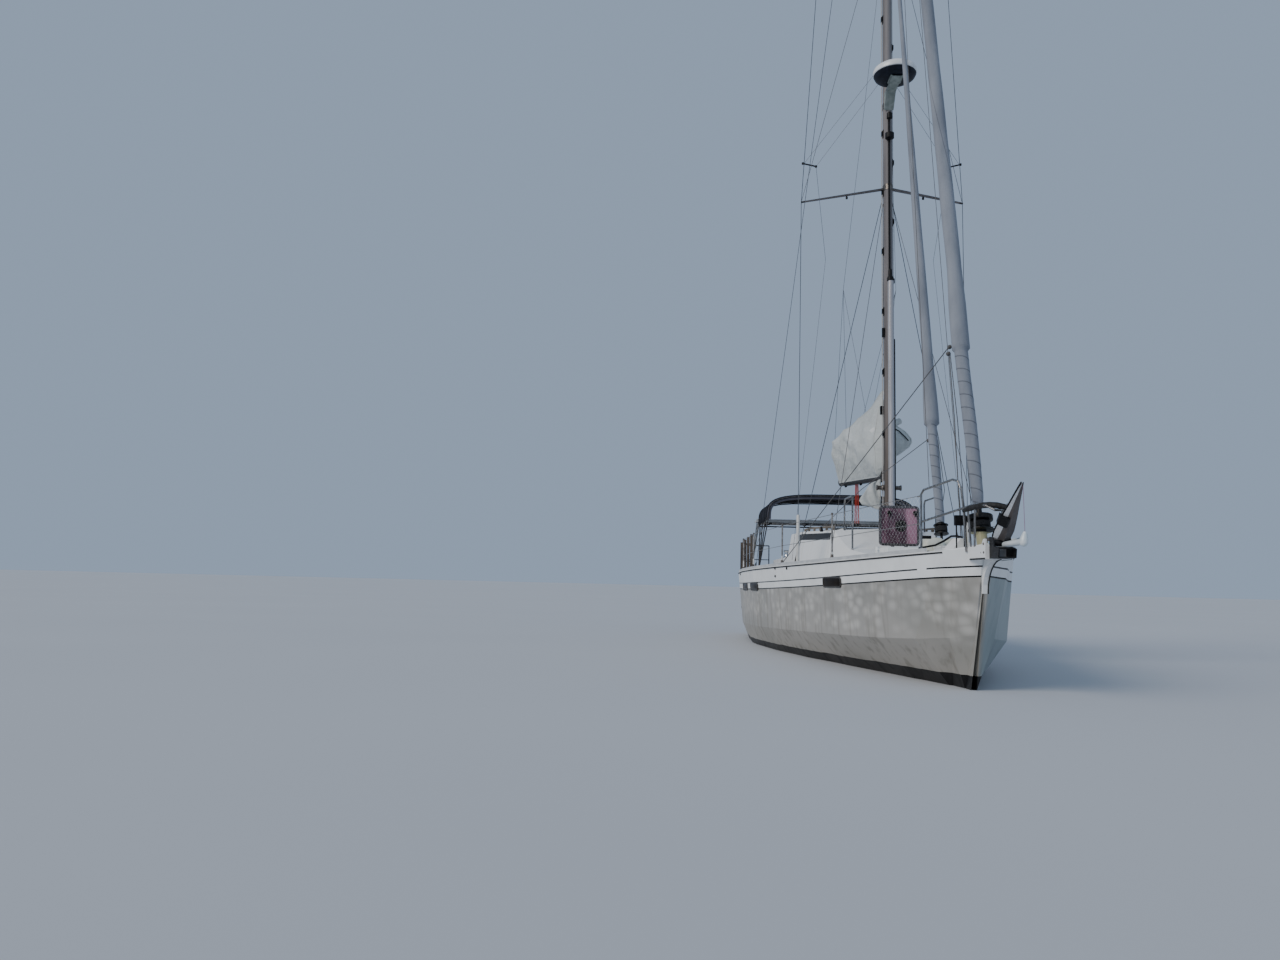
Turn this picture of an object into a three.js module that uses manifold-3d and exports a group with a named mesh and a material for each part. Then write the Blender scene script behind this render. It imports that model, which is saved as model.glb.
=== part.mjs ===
// Sailing yacht: a hard-chine aluminium cutter with a lifting centreboard.
// Millimetres. +X forward, +Y port, +Z up. Origin amidships, on the centreline, at the waterline.
import * as THREE from 'three';
import { mergeVertices } from 'three/addons/utils/BufferGeometryUtils.js';
import Module from 'manifold-3d';

const wasm = await Module();
wasm.setup();

// Clearances
const SEAT = 0.3;

// Hull stations from the stern to the stem, one row each:
// sheer x, half-breadth, z; chine x, half-breadth, z; bilge x, half-breadth, z; keel x, z
const STATIONS = [
  [-6000, 1720, 1330, -5920, 1600, 340, -5850, 1450, -20, -5800, -60],
  [-5000, 1860, 1340, -5000, 1745, 340, -5000, 1550, -120, -5000, -270],
  [-4000, 1940, 1350, -4000, 1840, 345, -4000, 1620, -200, -4000, -420],
  [-2500, 1970, 1360, -2500, 1885, 350, -2500, 1650, -270, -2500, -540],
  [-1000, 1890, 1375, -1000, 1800, 370, -1000, 1430, -300, -1000, -600],
  [500, 1680, 1395, 500, 1610, 400, 500, 1095, -310, 500, -620],
  [2000, 1390, 1415, 2000, 1320, 430, 2000, 667, -290, 2000, -600],
  [3200, 1120, 1437, 3200, 1060, 455, 3200, 373, -240, 3200, -540],
  [4200, 860, 1458, 4200, 785, 480, 4200, 177, -170, 4200, -450],
  [5000, 610, 1480, 5000, 515, 515, 4920, 60, -80, 4800, -340],
  [5600, 370, 1500, 5420, 240, 555, 5260, 34, -20, 5080, -240],
  [6000, 50, 1520, 5650, 35, 600, 5460, 30, 0, 5300, -150],
];
const DECK_CAMBER = 50;
const PLATE = 60;

// Cabin, cockpit and stern
const CABIN_AFT = -2300;
const CABIN_FORE = 4100;
const SOLE_Z = -200;
const FOOTWELL = { aft: -5000, fore: -2500, halfWidth: 400, floor: 900 };
const PLATFORM = { fore: -5400, halfWidth: 1050, z: 420 };
const LOCKER = { aft: -4200, fore: -3300, inner: 480, outer: 880, depth: 400 };
const ANCHOR_LOCKER = { aft: 4780, fore: 5220, halfWidth: 230, depth: 350, rim: 25, rimZ: 1550 };
const WINDLASS_X = 4610;
// Ladder pin aft of the platform, and mooring bollards: x and half-breadth
const LADDER = { x: -5955, z: 450, half: 170, height: 800 };
const BOLLARDS = [[4050, 740], [-5150, 1480]];

// Coachroof sections from its aft bulkhead to its nose, one row each:
// x, half-breadth at the deck, half-breadth at the roof edge, z of the roof edge
const ROOF = [
  [-2350, 1180, 1040, 2070],
  [-1000, 1130, 990, 2050],
  [1000, 920, 790, 1970],
  [1700, 800, 660, 1640],
  [2700, 600, 480, 1525],
  [3000, 500, 380, 1450],
];
const ROOF_CAMBER = 40;
const ROOF_WALL = 40;
const COAMING = { aft: -5000, inner: 960, outer: 1120, z: 1640 };

// Openings in the coachroof
const FOREHATCH = { x: 2320, size: 590, rim: 40 };
const COMPANIONWAY = { fore: -1500, halfWidth: 310, sill: 1450 };
// Side windows: their ends, and how far below the roof edge they start and stop
const WINDOW = { aft: -1500, fore: 900, above: 40, below: 150 };

// Centreboard and its trunk
const BOARD = { pivotX: 900, pivotZ: -250, lead: 120, trail: -780, rise: 150, drop: 1950, thick: 50 };
const TRUNK = { aft: -1260, fore: 1120, top: 620, slot: 66, wall: 60 };

// Rudder, shaft and propeller
const RUDDER = { x: -5050, stockRadius: 30, chord: 560, tip: -1550, top: -300 };
const SKEG = { aft: -3450, fore: -2500, z: -860, thick: 80 };
const SHAFT = { x: -3450, z: -740, radius: 18, length: 190 };
const PROPELLER = { radius: 220, hubRadius: 42, hubLength: 110, blades: 3 };

// Spars
const MAST = { x: 1350, chord: 200, width: 142, foot: 1910, top: 17500 };
const BOOM = { z: 2850, fore: 1120, aft: -2950, rise: 315, width: 120, depth: 170 };
const POLE = { radius: 50, foot: 2000, top: 5970 };
// Spreaders: root z, tip z, half-span, sweep aft
const SPREADERS = {
  lower: [7400, 7355, 1300, 460],
  upper: [12300, 12250, 1000, 350],
};
const SHROUD_X = 880;
const SHROUD_Y = 1330;
const LOWER_SHROUD_X = 620;
const LOWER_SHROUD_Y = 1350;
const BACKSTAY = { x: -5940, y: 1450 };
const ARCH = { aft: -5320, fore: -4920, half: 1450, z: 2450, tube: 21 };
const WIRE = 5;

// Headsails: tack x and z, head x and z, then rows of distance up the stay and radius
const GENOA = {
  tack: [5703, 1987],
  head: [1490, 17442],
  radii: [[0, 44], [550, 66], [1850, 74], [1950, 98], [2500, 98], [3000, 84], [7500, 78], [14800, 28]],
};
const STAYSAIL = {
  tack: [4207, 1896],
  head: [1440, 13264],
  radii: [[0, 48], [300, 56], [1230, 60], [1260, 90], [2400, 88], [5000, 70], [10400, 24]],
};

// Bimini: ends, height of its lower edge, half-width, rise of its top, frame foot x and half-breadth
const BIMINI = { aft: -4840, fore: -3000, low: 2400, half: 1460, rise: 505, cloth: 14 };
const BIMINI_FOOT = { x: -4250, y: 1500 };
const BOW_TUBE = 12;

// Bow platform and the anchor roller ahead of it
const PLATE_BOW = { aft: 5860, fore: 6320, bottom: 1395, top: 1530, half: 130, wing: 1600 };
const ROLLER = { fore: 6600, wheelX: 6400, radius: 34, top: 1590, floor: 1400, half: 90 };

// Rails
const RAIL_RADIUS = 14;
const STANCHION = { height: 650, radius: 13, inset: 70 };
const STANCHION_X = { port: [750, -1400, -3350], starboard: [2900, 750, -1400, -3350] };
const TOE_RAIL = { width: 30, height: 45 };

// Solid tools: one closed three.js geometry in, one closed body out
function solid(geometry) {
  const bare = geometry.index ? geometry.toNonIndexed() : geometry.clone();
  bare.deleteAttribute('normal');
  bare.deleteAttribute('uv');
  const merged = mergeVertices(bare, 1e-3);
  return new wasm.Manifold(new wasm.Mesh({
    numProp: 3,
    vertProperties: new Float32Array(merged.attributes.position.array),
    triVerts: new Uint32Array(merged.index.array),
  }));
}

function geometryOf(body) {
  const mesh = body.getMesh();
  const geometry = new THREE.BufferGeometry();
  geometry.setAttribute('position', new THREE.BufferAttribute(new Float32Array(mesh.vertProperties), 3));
  geometry.setIndex(new THREE.BufferAttribute(new Uint32Array(mesh.triVerts), 1));
  const flat = geometry.toNonIndexed();
  flat.computeVertexNormals();
  return flat;
}

function join(...bodies) {
  return bodies.reduce((whole, body) => whole.add(body));
}

function cut(body, ...tools) {
  return tools.reduce((rest, tool) => rest.subtract(tool), body);
}

// Block between two corners
function block(low, high) {
  const size = high.map((value, i) => value - low[i]);
  const box = new THREE.BoxGeometry(...size);
  box.translate(low[0] + size[0] / 2, low[1] + size[1] / 2, low[2] + size[2] / 2);
  return solid(box);
}

// Round bar between two points, with an optional other radius at its far end
function rod(from, to, radius, sides = 8, farRadius = radius) {
  const a = new THREE.Vector3(...from);
  const b = new THREE.Vector3(...to);
  const bar = new THREE.CylinderGeometry(farRadius, radius, a.distanceTo(b), sides);
  const way = b.clone().sub(a).normalize();
  bar.applyQuaternion(new THREE.Quaternion().setFromUnitVectors(new THREE.Vector3(0, 1, 0), way));
  bar.translate(...a.clone().add(b).multiplyScalar(0.5).toArray());
  return solid(bar);
}

// Radius of a sixteen-sided bore that clears a sixteen-sided bar by the seat gap
const boreFor = (radius) => (radius + SEAT) / Math.cos(Math.PI / 16);

// Plate: an outline in X and Z, extruded across Y
function plateXZ(outline, halfThickness, y = 0) {
  const shape = new THREE.Shape(outline.map(([x, z]) => new THREE.Vector2(x, z)));
  const plate = new THREE.ExtrudeGeometry(shape, { depth: 2 * halfThickness, bevelEnabled: false });
  plate.rotateX(Math.PI / 2);
  plate.translate(0, y + halfThickness, 0);
  return solid(plate);
}

// Plate: an outline in X and Y, extruded up from z
function plateXY(outline, z, height) {
  const shape = new THREE.Shape(outline.map(([x, y]) => new THREE.Vector2(x, y)));
  const plate = new THREE.ExtrudeGeometry(shape, { depth: height, bevelEnabled: false });
  plate.translate(0, 0, z);
  return solid(plate);
}

// Six times the volume inside a list of triangles, negative where they face inwards
function signedVolume(corners) {
  let sum = 0;
  for (let i = 0; i < corners.length; i += 9) {
    const [a, b, c] = [0, 3, 6].map((k) => new THREE.Vector3(...corners.slice(i + k, i + k + 3)));
    sum += a.dot(b.cross(c));
  }
  return sum;
}

// Skin over sections of equal point count, closed by a fan at each end, facing out
function loft(sections) {
  const count = sections[0].length;
  const points = sections.flat();
  const faces = [];
  for (let s = 0; s + 1 < sections.length; s += 1) {
    for (let i = 0; i < count; i += 1) {
      const j = (i + 1) % count;
      const [a, b, c, d] = [s * count + i, s * count + j, (s + 1) * count + j, (s + 1) * count + i];
      faces.push([a, b, c], [a, c, d]);
    }
  }
  const last = (sections.length - 1) * count;
  for (let i = 1; i + 1 < count; i += 1) {
    faces.push([0, i + 1, i], [last, last + i, last + i + 1]);
  }
  const turned = faces.map(([a, b, c]) => [a, c, b]);
  const cornersOf = (list) => list.flat().flatMap((index) => points[index]);
  const corners = signedVolume(cornersOf(faces)) > 0 ? cornersOf(faces) : cornersOf(turned);
  const geometry = new THREE.BufferGeometry();
  geometry.setAttribute('position', new THREE.BufferAttribute(new Float32Array(corners), 3));
  return solid(geometry);
}

// Bent tube: a ring at each point, square to the way through it, carried along without twist
function tube(points, radius, sides = 8) {
  const path = points.map((point) => new THREE.Vector3(...point));
  const way = (i) => path[Math.min(i + 1, path.length - 1)].clone().sub(path[Math.max(i - 1, 0)]).normalize();
  const first = way(0);
  let across = new THREE.Vector3(0, 0, 1).cross(first);
  if (across.length() < 0.1) across = new THREE.Vector3(1, 0, 0).cross(first);
  return loft(path.map((point, i) => {
    const along = way(i);
    across = across.clone().addScaledVector(along, -across.dot(along)).normalize();
    const up = along.clone().cross(across);
    return Array.from({ length: sides }, (_, k) => {
      const turn = 2 * Math.PI * k / sides;
      return point.clone().addScaledVector(across, radius * Math.cos(turn))
        .addScaledVector(up, radius * Math.sin(turn)).toArray();
    });
  }));
}

function lathe(profile, sides) {
  const turned = new THREE.LatheGeometry(profile.map(([r, h]) => new THREE.Vector2(r, h)), sides);
  turned.rotateX(Math.PI / 2);
  return turned;
}

// Plate: an outline in Y and Z, extruded forward from x
function plateYZ(outline, x, length) {
  const shape = new THREE.Shape(outline.map(([y, z]) => new THREE.Vector2(y, z)));
  const plate = new THREE.ExtrudeGeometry(shape, { depth: length, bevelEnabled: false });
  plate.rotateX(Math.PI / 2);
  plate.rotateZ(Math.PI / 2);
  plate.translate(x, 0, 0);
  return solid(plate);
}

const mirrorY = (point) => [point[0], -point[1], point[2]];
const sideOf = { port: 1, starboard: -1 };

// Hull section, port side first: deck centre, sheer, chine, bilge, keel and back up to starboard
function hullSection(row, inset = 0) {
  const [xs, bs, zs, xc, bc, zc, xb, bb, zb, xk, zk] = row;
  const bilgeHalf = Math.max(bb - inset, 12);
  const half = [[xs, bs - inset, zs - inset], [xc, bc - inset, zc], [xb, bilgeHalf, zb + inset]];
  return [
    [xs, 0, zs + DECK_CAMBER - inset],
    ...half,
    [xk, 0, zk + inset],
    ...half.slice().reverse().map(mirrorY),
  ];
}

function sheerAt(x) {
  const next = Math.max(1, STATIONS.findIndex((row) => row[0] >= x));
  const [a, b] = [STATIONS[next - 1], STATIONS[next]];
  const t = (x - a[0]) / (b[0] - a[0]);
  return { y: a[1] + t * (b[1] - a[1]), z: a[2] + t * (b[2] - a[2]) };
}

// Height of the cambered deck
function deckZ(x, y = 0) {
  const sheer = sheerAt(x);
  return sheer.z + DECK_CAMBER * (1 - Math.abs(y) / sheer.y);
}

function roofSection([x, base, edge, z], inset = 0, foot = deckZ(x) - 150) {
  return [
    [x, 0, z + ROOF_CAMBER - inset],
    [x, edge - inset, z - inset],
    [x, base - inset, foot],
    [x, -(base - inset), foot],
    [x, -(edge - inset), z - inset],
  ];
}

function roofZ(x) {
  const next = ROOF.findIndex((row) => row[0] >= x);
  const [a, b] = [ROOF[next - 1], ROOF[next]];
  return a[3] + ((x - a[0]) / (b[0] - a[0])) * (b[3] - a[3]) + ROOF_CAMBER;
}
const windowTop = (x) => roofZ(x) - ROOF_CAMBER - WINDOW.above;
const windowBottom = (x) => roofZ(x) - ROOF_CAMBER - WINDOW.below;

const outerHull = loft(STATIONS.map((row) => hullSection(row)));
// The room that pieces on the deck and stem leave for the hull
const hullRoom = join(outerHull, outerHull.translate([0, 0, SEAT]), outerHull.translate([SEAT, 0, 0]));

const outerRoof = loft(ROOF.map((row) => roofSection(row)));

// Inside of the coachroof, also the hole in the deck under it
const roofInner = loft(ROOF.slice(0, 5).map((row, i) => {
  const moved = i === 0 ? [CABIN_AFT, ...row.slice(1)] : row;
  return roofSection(moved, ROOF_WALL, 1300);
}));

const parts = new THREE.Group();
parts.name = 'sailing_yacht';

function add(name, body, material) {
  const mesh = new THREE.Mesh(geometryOf(body), material);
  mesh.name = name;
  parts.add(mesh);
}

function finish(color, roughness, metalness) {
  return new THREE.MeshStandardMaterial({ color, roughness, metalness });
}
const bareAluminium = finish(0xb8b2a6, 0.5, 0.9);
const whitePaint = finish(0xe9ebea, 0.35, 0);
const stainless = finish(0xc9cccd, 0.22, 1);
const sparGrey = finish(0xb4b8ba, 0.4, 0.85);
const blackPlastic = finish(0x18191b, 0.5, 0);
const darkGlass = finish(0x16130f, 0.08, 0);
const navyCanvas = finish(0x20252e, 0.9, 0);
const sailCloth = finish(0xb9bcc0, 0.85, 0);
const bagCloth = finish(0xc3cac8, 0.85, 0);
const antifouling = finish(0x101113, 0.8, 0);
const castIron = finish(0x55565a, 0.6, 0.7);

// Hull: the plating, with the cabin, cockpit, lockers, stern platform, trunk and skeg in it
function makeHull() {
  const cabinRows = STATIONS.filter((row) => row[0] > CABIN_AFT && row[0] < CABIN_FORE);
  const aftRow = STATIONS[3].slice();
  aftRow[0] = CABIN_AFT;
  [3, 6, 9].forEach((column) => { aftRow[column] = CABIN_AFT; });
  const foreRow = STATIONS[8].slice();
  foreRow[0] = CABIN_FORE;
  [3, 6, 9].forEach((column) => { foreRow[column] = CABIN_FORE; });
  const room = loft([aftRow, ...cabinRows, foreRow].map((row) => hullSection(row, PLATE)));
  const bilge = block([CABIN_AFT - 10, -2000, -1000], [CABIN_FORE + 10, 2000, SOLE_Z]);
  const halfTrunk = TRUNK.slot / 2 + TRUNK.wall;
  const trunk = block(
    [TRUNK.aft - TRUNK.wall, -halfTrunk, -1000],
    [TRUNK.fore + TRUNK.wall, halfTrunk, TRUNK.top + TRUNK.wall],
  );
  const cabin = cut(room, bilge, trunk);
  const slot = block([TRUNK.aft, -TRUNK.slot / 2, -1000], [TRUNK.fore, TRUNK.slot / 2, TRUNK.top]);
  const footwell = block(
    [FOOTWELL.aft, -FOOTWELL.halfWidth, FOOTWELL.floor],
    [FOOTWELL.fore, FOOTWELL.halfWidth, 2000],
  );
  const platform = block([-7000, -PLATFORM.halfWidth, PLATFORM.z], [PLATFORM.fore, PLATFORM.halfWidth, 2000]);
  const sternStep = block([PLATFORM.fore - 1, -300, 900], [FOOTWELL.aft + 1, 300, 2000]);
  const lockers = Object.values(sideOf).map((s) => block(
    [LOCKER.aft, Math.min(s * LOCKER.inner, s * LOCKER.outer), deckZ(LOCKER.aft) - LOCKER.depth],
    [LOCKER.fore, Math.max(s * LOCKER.inner, s * LOCKER.outer), 2000],
  ));
  const chainWell = block(
    [ANCHOR_LOCKER.aft, -ANCHOR_LOCKER.halfWidth, deckZ(ANCHOR_LOCKER.aft) - ANCHOR_LOCKER.depth],
    [ANCHOR_LOCKER.fore, ANCHOR_LOCKER.halfWidth, 2000],
  );
  const { aft, fore, halfWidth, rim, rimZ } = ANCHOR_LOCKER;
  const lockerRim = block([aft - rim, -halfWidth - rim, 1400], [fore + rim, halfWidth + rim, rimZ]);
  const ears = [-1, 1].map((s) => block(
    [LADDER.x - 20, s * (LADDER.half + 10) - 10 + s * SEAT, PLATFORM.z - 40],
    [-5830, s * (LADDER.half + 10) + 10 + s * SEAT, LADDER.z + 15],
  ));
  const bollards = BOLLARDS.flatMap(([x, y]) => [-1, 1].map((s) => join(
    rod([x, s * y, 1300], [x, s * y, deckZ(x, y) + 130], 24, 10),
    rod([x - 90, s * y, deckZ(x, y) + 95], [x + 90, s * y, deckZ(x, y) + 95], 13, 8),
  )));
  const skeg = plateXZ([
    [SKEG.fore, -400], [SKEG.aft, -400], [SKEG.aft, SKEG.z], [SKEG.aft + 250, SKEG.z],
  ], SKEG.thick / 2);
  const stockBore = rod([RUDDER.x, 0, -600], [RUDDER.x, 0, 150], boreFor(RUDDER.stockRadius), 16);
  const shaftBore = rod([SHAFT.x - 50, 0, SHAFT.z], [SHAFT.x + 150, 0, SHAFT.z], boreFor(SHAFT.radius), 16);
  const hollowed = cut(
    join(outerHull, skeg, lockerRim, ...bollards),
    cabin, roofInner, slot, footwell, platform, sternStep, ...lockers, chainWell, stockBore, shaftBore,
  );
  return join(hollowed, ...ears);
}
add('hull', makeHull(), bareAluminium);

// Top of the foredeck hatch coaming, and the pin of its lid between two lugs on the roof
const HATCH_RIM_Z = roofZ(FOREHATCH.x - FOREHATCH.size / 2) + 15;
const HINGE = { x: FOREHATCH.x - FOREHATCH.size / 2 - 25, z: HATCH_RIM_Z + 21, half: 120 };
const HATCH_Z = roofZ(ROOF[1][0]) + 20;

// Coachroof: sides, roof, hatch coaming and mast step
function makeCoachroof() {
  const half = FOREHATCH.size / 2;
  const coaming = block(
    [FOREHATCH.x - half, -half, 1500],
    [FOREHATCH.x + half, half, HATCH_RIM_Z],
  );
  const hatchHole = block(
    [FOREHATCH.x - half + FOREHATCH.rim, -half + FOREHATCH.rim, 1400],
    [FOREHATCH.x + half - FOREHATCH.rim, half - FOREHATCH.rim, 2200],
  );
  const doorway = block(
    [ROOF[0][0] - 10, -COMPANIONWAY.halfWidth, COMPANIONWAY.sill],
    [COMPANIONWAY.fore, COMPANIONWAY.halfWidth, 2200],
  );
  const windows = loft([WINDOW.aft, ROOF[1][0], WINDOW.fore].map((x) => {
    const [low, high] = [windowBottom(x), windowTop(x)];
    return [[x, -2000, low], [x, 2000, low], [x, 2000, high], [x, -2000, high]];
  }));
  const mastStep = block(
    [MAST.x - 160, -130, roofZ(MAST.x) - 60],
    [MAST.x + 160, 130, MAST.foot - SEAT],
  );
  const lugs = [-1, 1].map((s) => block(
    [HINGE.x - 14, s * (HINGE.half + 15 + SEAT) - 15, roofZ(HINGE.x) - 50],
    [HINGE.x + 14, s * (HINGE.half + 15 + SEAT) + 15, HINGE.z + 14],
  ));
  const runners = [-1, 1].map((s) => block(
    [ROOF[0][0], s * 340 - 12, roofZ(ROOF[1][0]) - 60],
    [COMPANIONWAY.fore + 700, s * 340 + 12, HATCH_Z - SEAT],
  ));
  const whole = join(outerRoof, coaming, ...lugs, ...runners);
  const hollow = cut(whole, roofInner, hatchHole, doorway, windows, hullRoom);
  return join(hollow, cut(mastStep, roofInner));
}
add('coachroof', makeCoachroof(), whitePaint);

// Mast bars: a hoop on the roof at each side of the mast
const roofRoom = join(outerRoof, outerRoof.translate([0, 0, SEAT]));
Object.entries(sideOf).forEach(([side, s]) => {
  const y = s * 620;
  const hoop = tube([
    [1010, y, 1950], [1010, y, 2400], [1060, y, 2455], [1640, y, 2455], [1690, y, 2400], [1690, y, 1600],
  ], RAIL_RADIUS);
  add(`mast_bar_${side}`, cut(hoop, roofRoom), stainless);
});

// Cockpit coamings, from the coachroof aft
Object.entries(sideOf).forEach(([side, s]) => {
  const coaming = block(
    [COAMING.aft, Math.min(s * COAMING.inner, s * COAMING.outer), 1300],
    [ROOF[0][0] - SEAT, Math.max(s * COAMING.inner, s * COAMING.outer), COAMING.z],
  );
  add(`cockpit_coaming_${side}`, cut(coaming, hullRoom), whitePaint);
});

function wallY(x, z) {
  const next = ROOF.findIndex((row) => row[0] >= x);
  const [a, b] = [ROOF[next - 1], ROOF[next]];
  const t = (x - a[0]) / (b[0] - a[0]);
  const [base, edge, top] = [1, 2, 3].map((column) => a[column] + t * (b[column] - a[column]));
  const foot = deckZ(x) - 150;
  return base + ((z - foot) / (top - foot)) * (edge - base);
}

// Side windows, let into the coachroof
Object.entries(sideOf).forEach(([side, s]) => {
  const corner = (x, z, inset) => [x, s * (wallY(x, z) - inset), z];
  const sections = [WINDOW.aft + SEAT, ROOF[1][0], WINDOW.fore - SEAT].map((x) => {
    const [low, high] = [windowBottom(x) + SEAT, windowTop(x) - SEAT];
    return [corner(x, low, 6), corner(x, high, 6), corner(x, high, 18), corner(x, low, 18)];
  });
  add(`coachroof_window_${side}`, loft(sections), darkGlass);
});

// Engine block on the sole and the steps over it
const engineTop = SOLE_Z + 620;
add('engine', block([-2250, -260, SOLE_Z + SEAT], [-1500, 260, engineTop]), castIron);
add('companionway_steps', plateXZ([
  [-2250, engineTop + SEAT], [-1420, engineTop + SEAT], [-1420, 700], [-1720, 700],
  [-1720, 980], [-2000, 980], [-2000, 1250], [-2250, 1250],
], 280), finish(0x8a5a33, 0.5, 0));

// Guard rails: a toe rail along the sheer with its stanchions
const toeXs = STATIONS.map((row) => row[0]).filter((x) => x > -5500 && x < 5600);
Object.entries(sideOf).forEach(([side, s]) => {
  const railXs = [-5300, ...toeXs, 5300].filter((x, i, all) => i === 0 || x > all[i - 1]);
  const sections = railXs.map((x) => {
    const sheer = sheerAt(x);
    const outer = sheer.y - 10;
    const inner = outer - TOE_RAIL.width;
    return [[x, s * outer, sheer.z - 30], [x, s * outer, sheer.z + TOE_RAIL.height],
      [x, s * inner, sheer.z + TOE_RAIL.height], [x, s * inner, sheer.z - 30]];
  });
  const posts = STANCHION_X[side].map((x) => {
    const y = s * (sheerAt(x).y - STANCHION.inset);
    return join(
      rod([x, y, deckZ(x, y) - 30], [x, y, deckZ(x, y) + STANCHION.height], STANCHION.radius),
      block([x - 40, Math.min(y, s * (sheerAt(x).y - 15)), sheerAt(x).z - 30],
        [x + 40, Math.max(y, s * (sheerAt(x).y - 15)), sheerAt(x).z + 30]),
    );
  });
  add(`guard_rail_${side}`, cut(join(loft(sections), ...posts), hullRoom), stainless);
});

// Pulpit: the rail round the bow on four legs, and over it a high hoop on the starboard side
function makePulpit() {
  const hoop = tube([
    [5135, -470, 1450], [5135, -470, 2150], [5190, -455, 2200], [5740, -285, 2262],
    [5830, -250, 2235], [5875, -230, 2141], [5863, -205, 1946], [5840, -175, 1480],
  ], RAIL_RADIUS);
  const side = [[5135, 470, 1841], [5863, 205, 1946], [6150, 160, 1968], [6340, 120, 1935], [6420, 60, 1885]];
  const rail = tube([...side.map(mirrorY), ...side.slice().reverse()], RAIL_RADIUS);
  const aftLeg = rod([5135, 470, 1450], side[0], RAIL_RADIUS);
  const foreLeg = rod([5840, 175, 1480], side[1], RAIL_RADIUS);
  return cut(join(hoop, rail, aftLeg, foreLeg), hullRoom);
}
add('pulpit', makePulpit(), stainless);

// Pushpit: a rail round each quarter, open at the stern platform
function makePushpit(s) {
  const top = deckZ(-5000, 1800) + 650;
  const rail = [[-4700, s * 1770, top], [-5900, s * 1620, top], [-5900, s * 1130, top]];
  const mid = rail.map(([x, y, z]) => [x, y, z - 320]);
  const legs = [rail[0], rail[1], rail[2]].map(([x, y]) => rod([x, y, 1250], [x, y, top], RAIL_RADIUS));
  return cut(join(tube(rail, RAIL_RADIUS), tube(mid, 10), ...legs), hullRoom);
}
Object.entries(sideOf).forEach(([side, s]) => add(`pushpit_${side}`, makePushpit(s), stainless));

// Bow platform: a short deck ahead of the stem, on a knee with a hollow front edge
function makeBowPlatform() {
  const { aft, fore, bottom, top, half, wing } = PLATE_BOW;
  const wide = half + 38;
  const deck = plateXY([[aft, -wide], [fore, -half], [fore, half], [aft, wide]], bottom, top - bottom);
  const wings = [-1, 1].map((s) => plateXZ(
    [[fore - 170, top - 40], [fore, top - 40], [fore, wing], [fore - 70, wing]], 8, s * (half - 8),
  ));
  const hollow = Array.from({ length: 7 }, (_, i) => {
    const turn = (Math.PI / 2) * (i / 6);
    return [fore - 10 - 420 * Math.sin(turn), bottom - 350 * (1 - Math.cos(turn))];
  });
  const knee = plateXZ([[aft, bottom + 20], [fore - 10, bottom + 20], ...hollow, [aft, bottom - 350]], 28);
  return cut(join(deck, knee, ...wings), hullRoom);
}
add('bow_platform', makeBowPlatform(), whitePaint);

// Anchor roller: two cheeks and a floor, with the roller between them
function makeBowRoller() {
  const { fore, wheelX, radius, top, floor, half } = ROLLER;
  const aft = PLATE_BOW.fore + SEAT;
  const cheeks = [-1, 1].map((s) => plateXZ([
    [aft, floor], [fore - 20, floor], [fore, floor + 90],
    [wheelX + 60, floor + 120], [wheelX + 30, top + 20], [aft, top + 30],
  ], 6, s * (half - 6)));
  const base = block([aft, -half, floor], [fore - 20, half, floor + 12]);
  const wheel = rod([wheelX, -half, top - radius], [wheelX, half, top - radius], radius, 12);
  return join(...cheeks, base, wheel);
}
add('bow_roller', makeBowRoller(), stainless);

// Short fixed tube beside the roller, with its end piece
const SPRIT = { y: 168, z: 1585, aft: 5900, fore: 6590, radius: 28 };
add('bow_tube', cut(
  join(
    rod([SPRIT.aft, SPRIT.y, SPRIT.z - 5], [SPRIT.fore, SPRIT.y, SPRIT.z], SPRIT.radius, 12),
    rod([SPRIT.fore - 10, SPRIT.y, SPRIT.z], [SPRIT.fore + 40, SPRIT.y, SPRIT.z], 38, 12),
    block([SPRIT.aft + 60, SPRIT.y - 50, PLATE_BOW.top + SEAT], [SPRIT.aft + 160, SPRIT.y, SPRIT.z]),
  ),
  hullRoom,
), finish(0xd5d8d6, 0.4, 0.3));

// Anchor: its shank lies on the roller and its folded plough stands up ahead of it
function makeAnchor() {
  const low = ROLLER.top + SEAT;
  const shank = plateXZ([[5950, low], [6480, low], [6500, low + 40], [5950, low + 34]], 10);
  const way = new THREE.Vector3(7030 - 6430, 0, 2100 - 1620);
  const chevron = (t, half) => {
    const spine = new THREE.Vector3(6430, 0, 1620).addScaledVector(way, t);
    return [
      [spine.x + half * 0.45, 0, spine.z - half * 0.55], [spine.x, half, spine.z],
      [spine.x + half * 0.2, 0, spine.z - half * 0.25], [spine.x, -half, spine.z],
    ];
  };
  const plough = loft([chevron(0, 115), chevron(0.45, 100), chevron(1, 14)]);
  return join(shank, plough, rod([6470, 0, low + 20], [6560, 0, 1690], 14, 8));
}
add('anchor', makeAnchor(), castIron);

// Windlass on the foredeck, aft of the locker
add('windlass', cut(join(
  block([WINDLASS_X - 95, -110, 1400], [WINDLASS_X + 95, 110, 1640]),
  rod([WINDLASS_X, 90, 1590], [WINDLASS_X, 210, 1590], 60, 12),
  rod([WINDLASS_X, -90, 1590], [WINDLASS_X, -190, 1590], 50, 12),
), hullRoom), blackPlastic);

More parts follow.
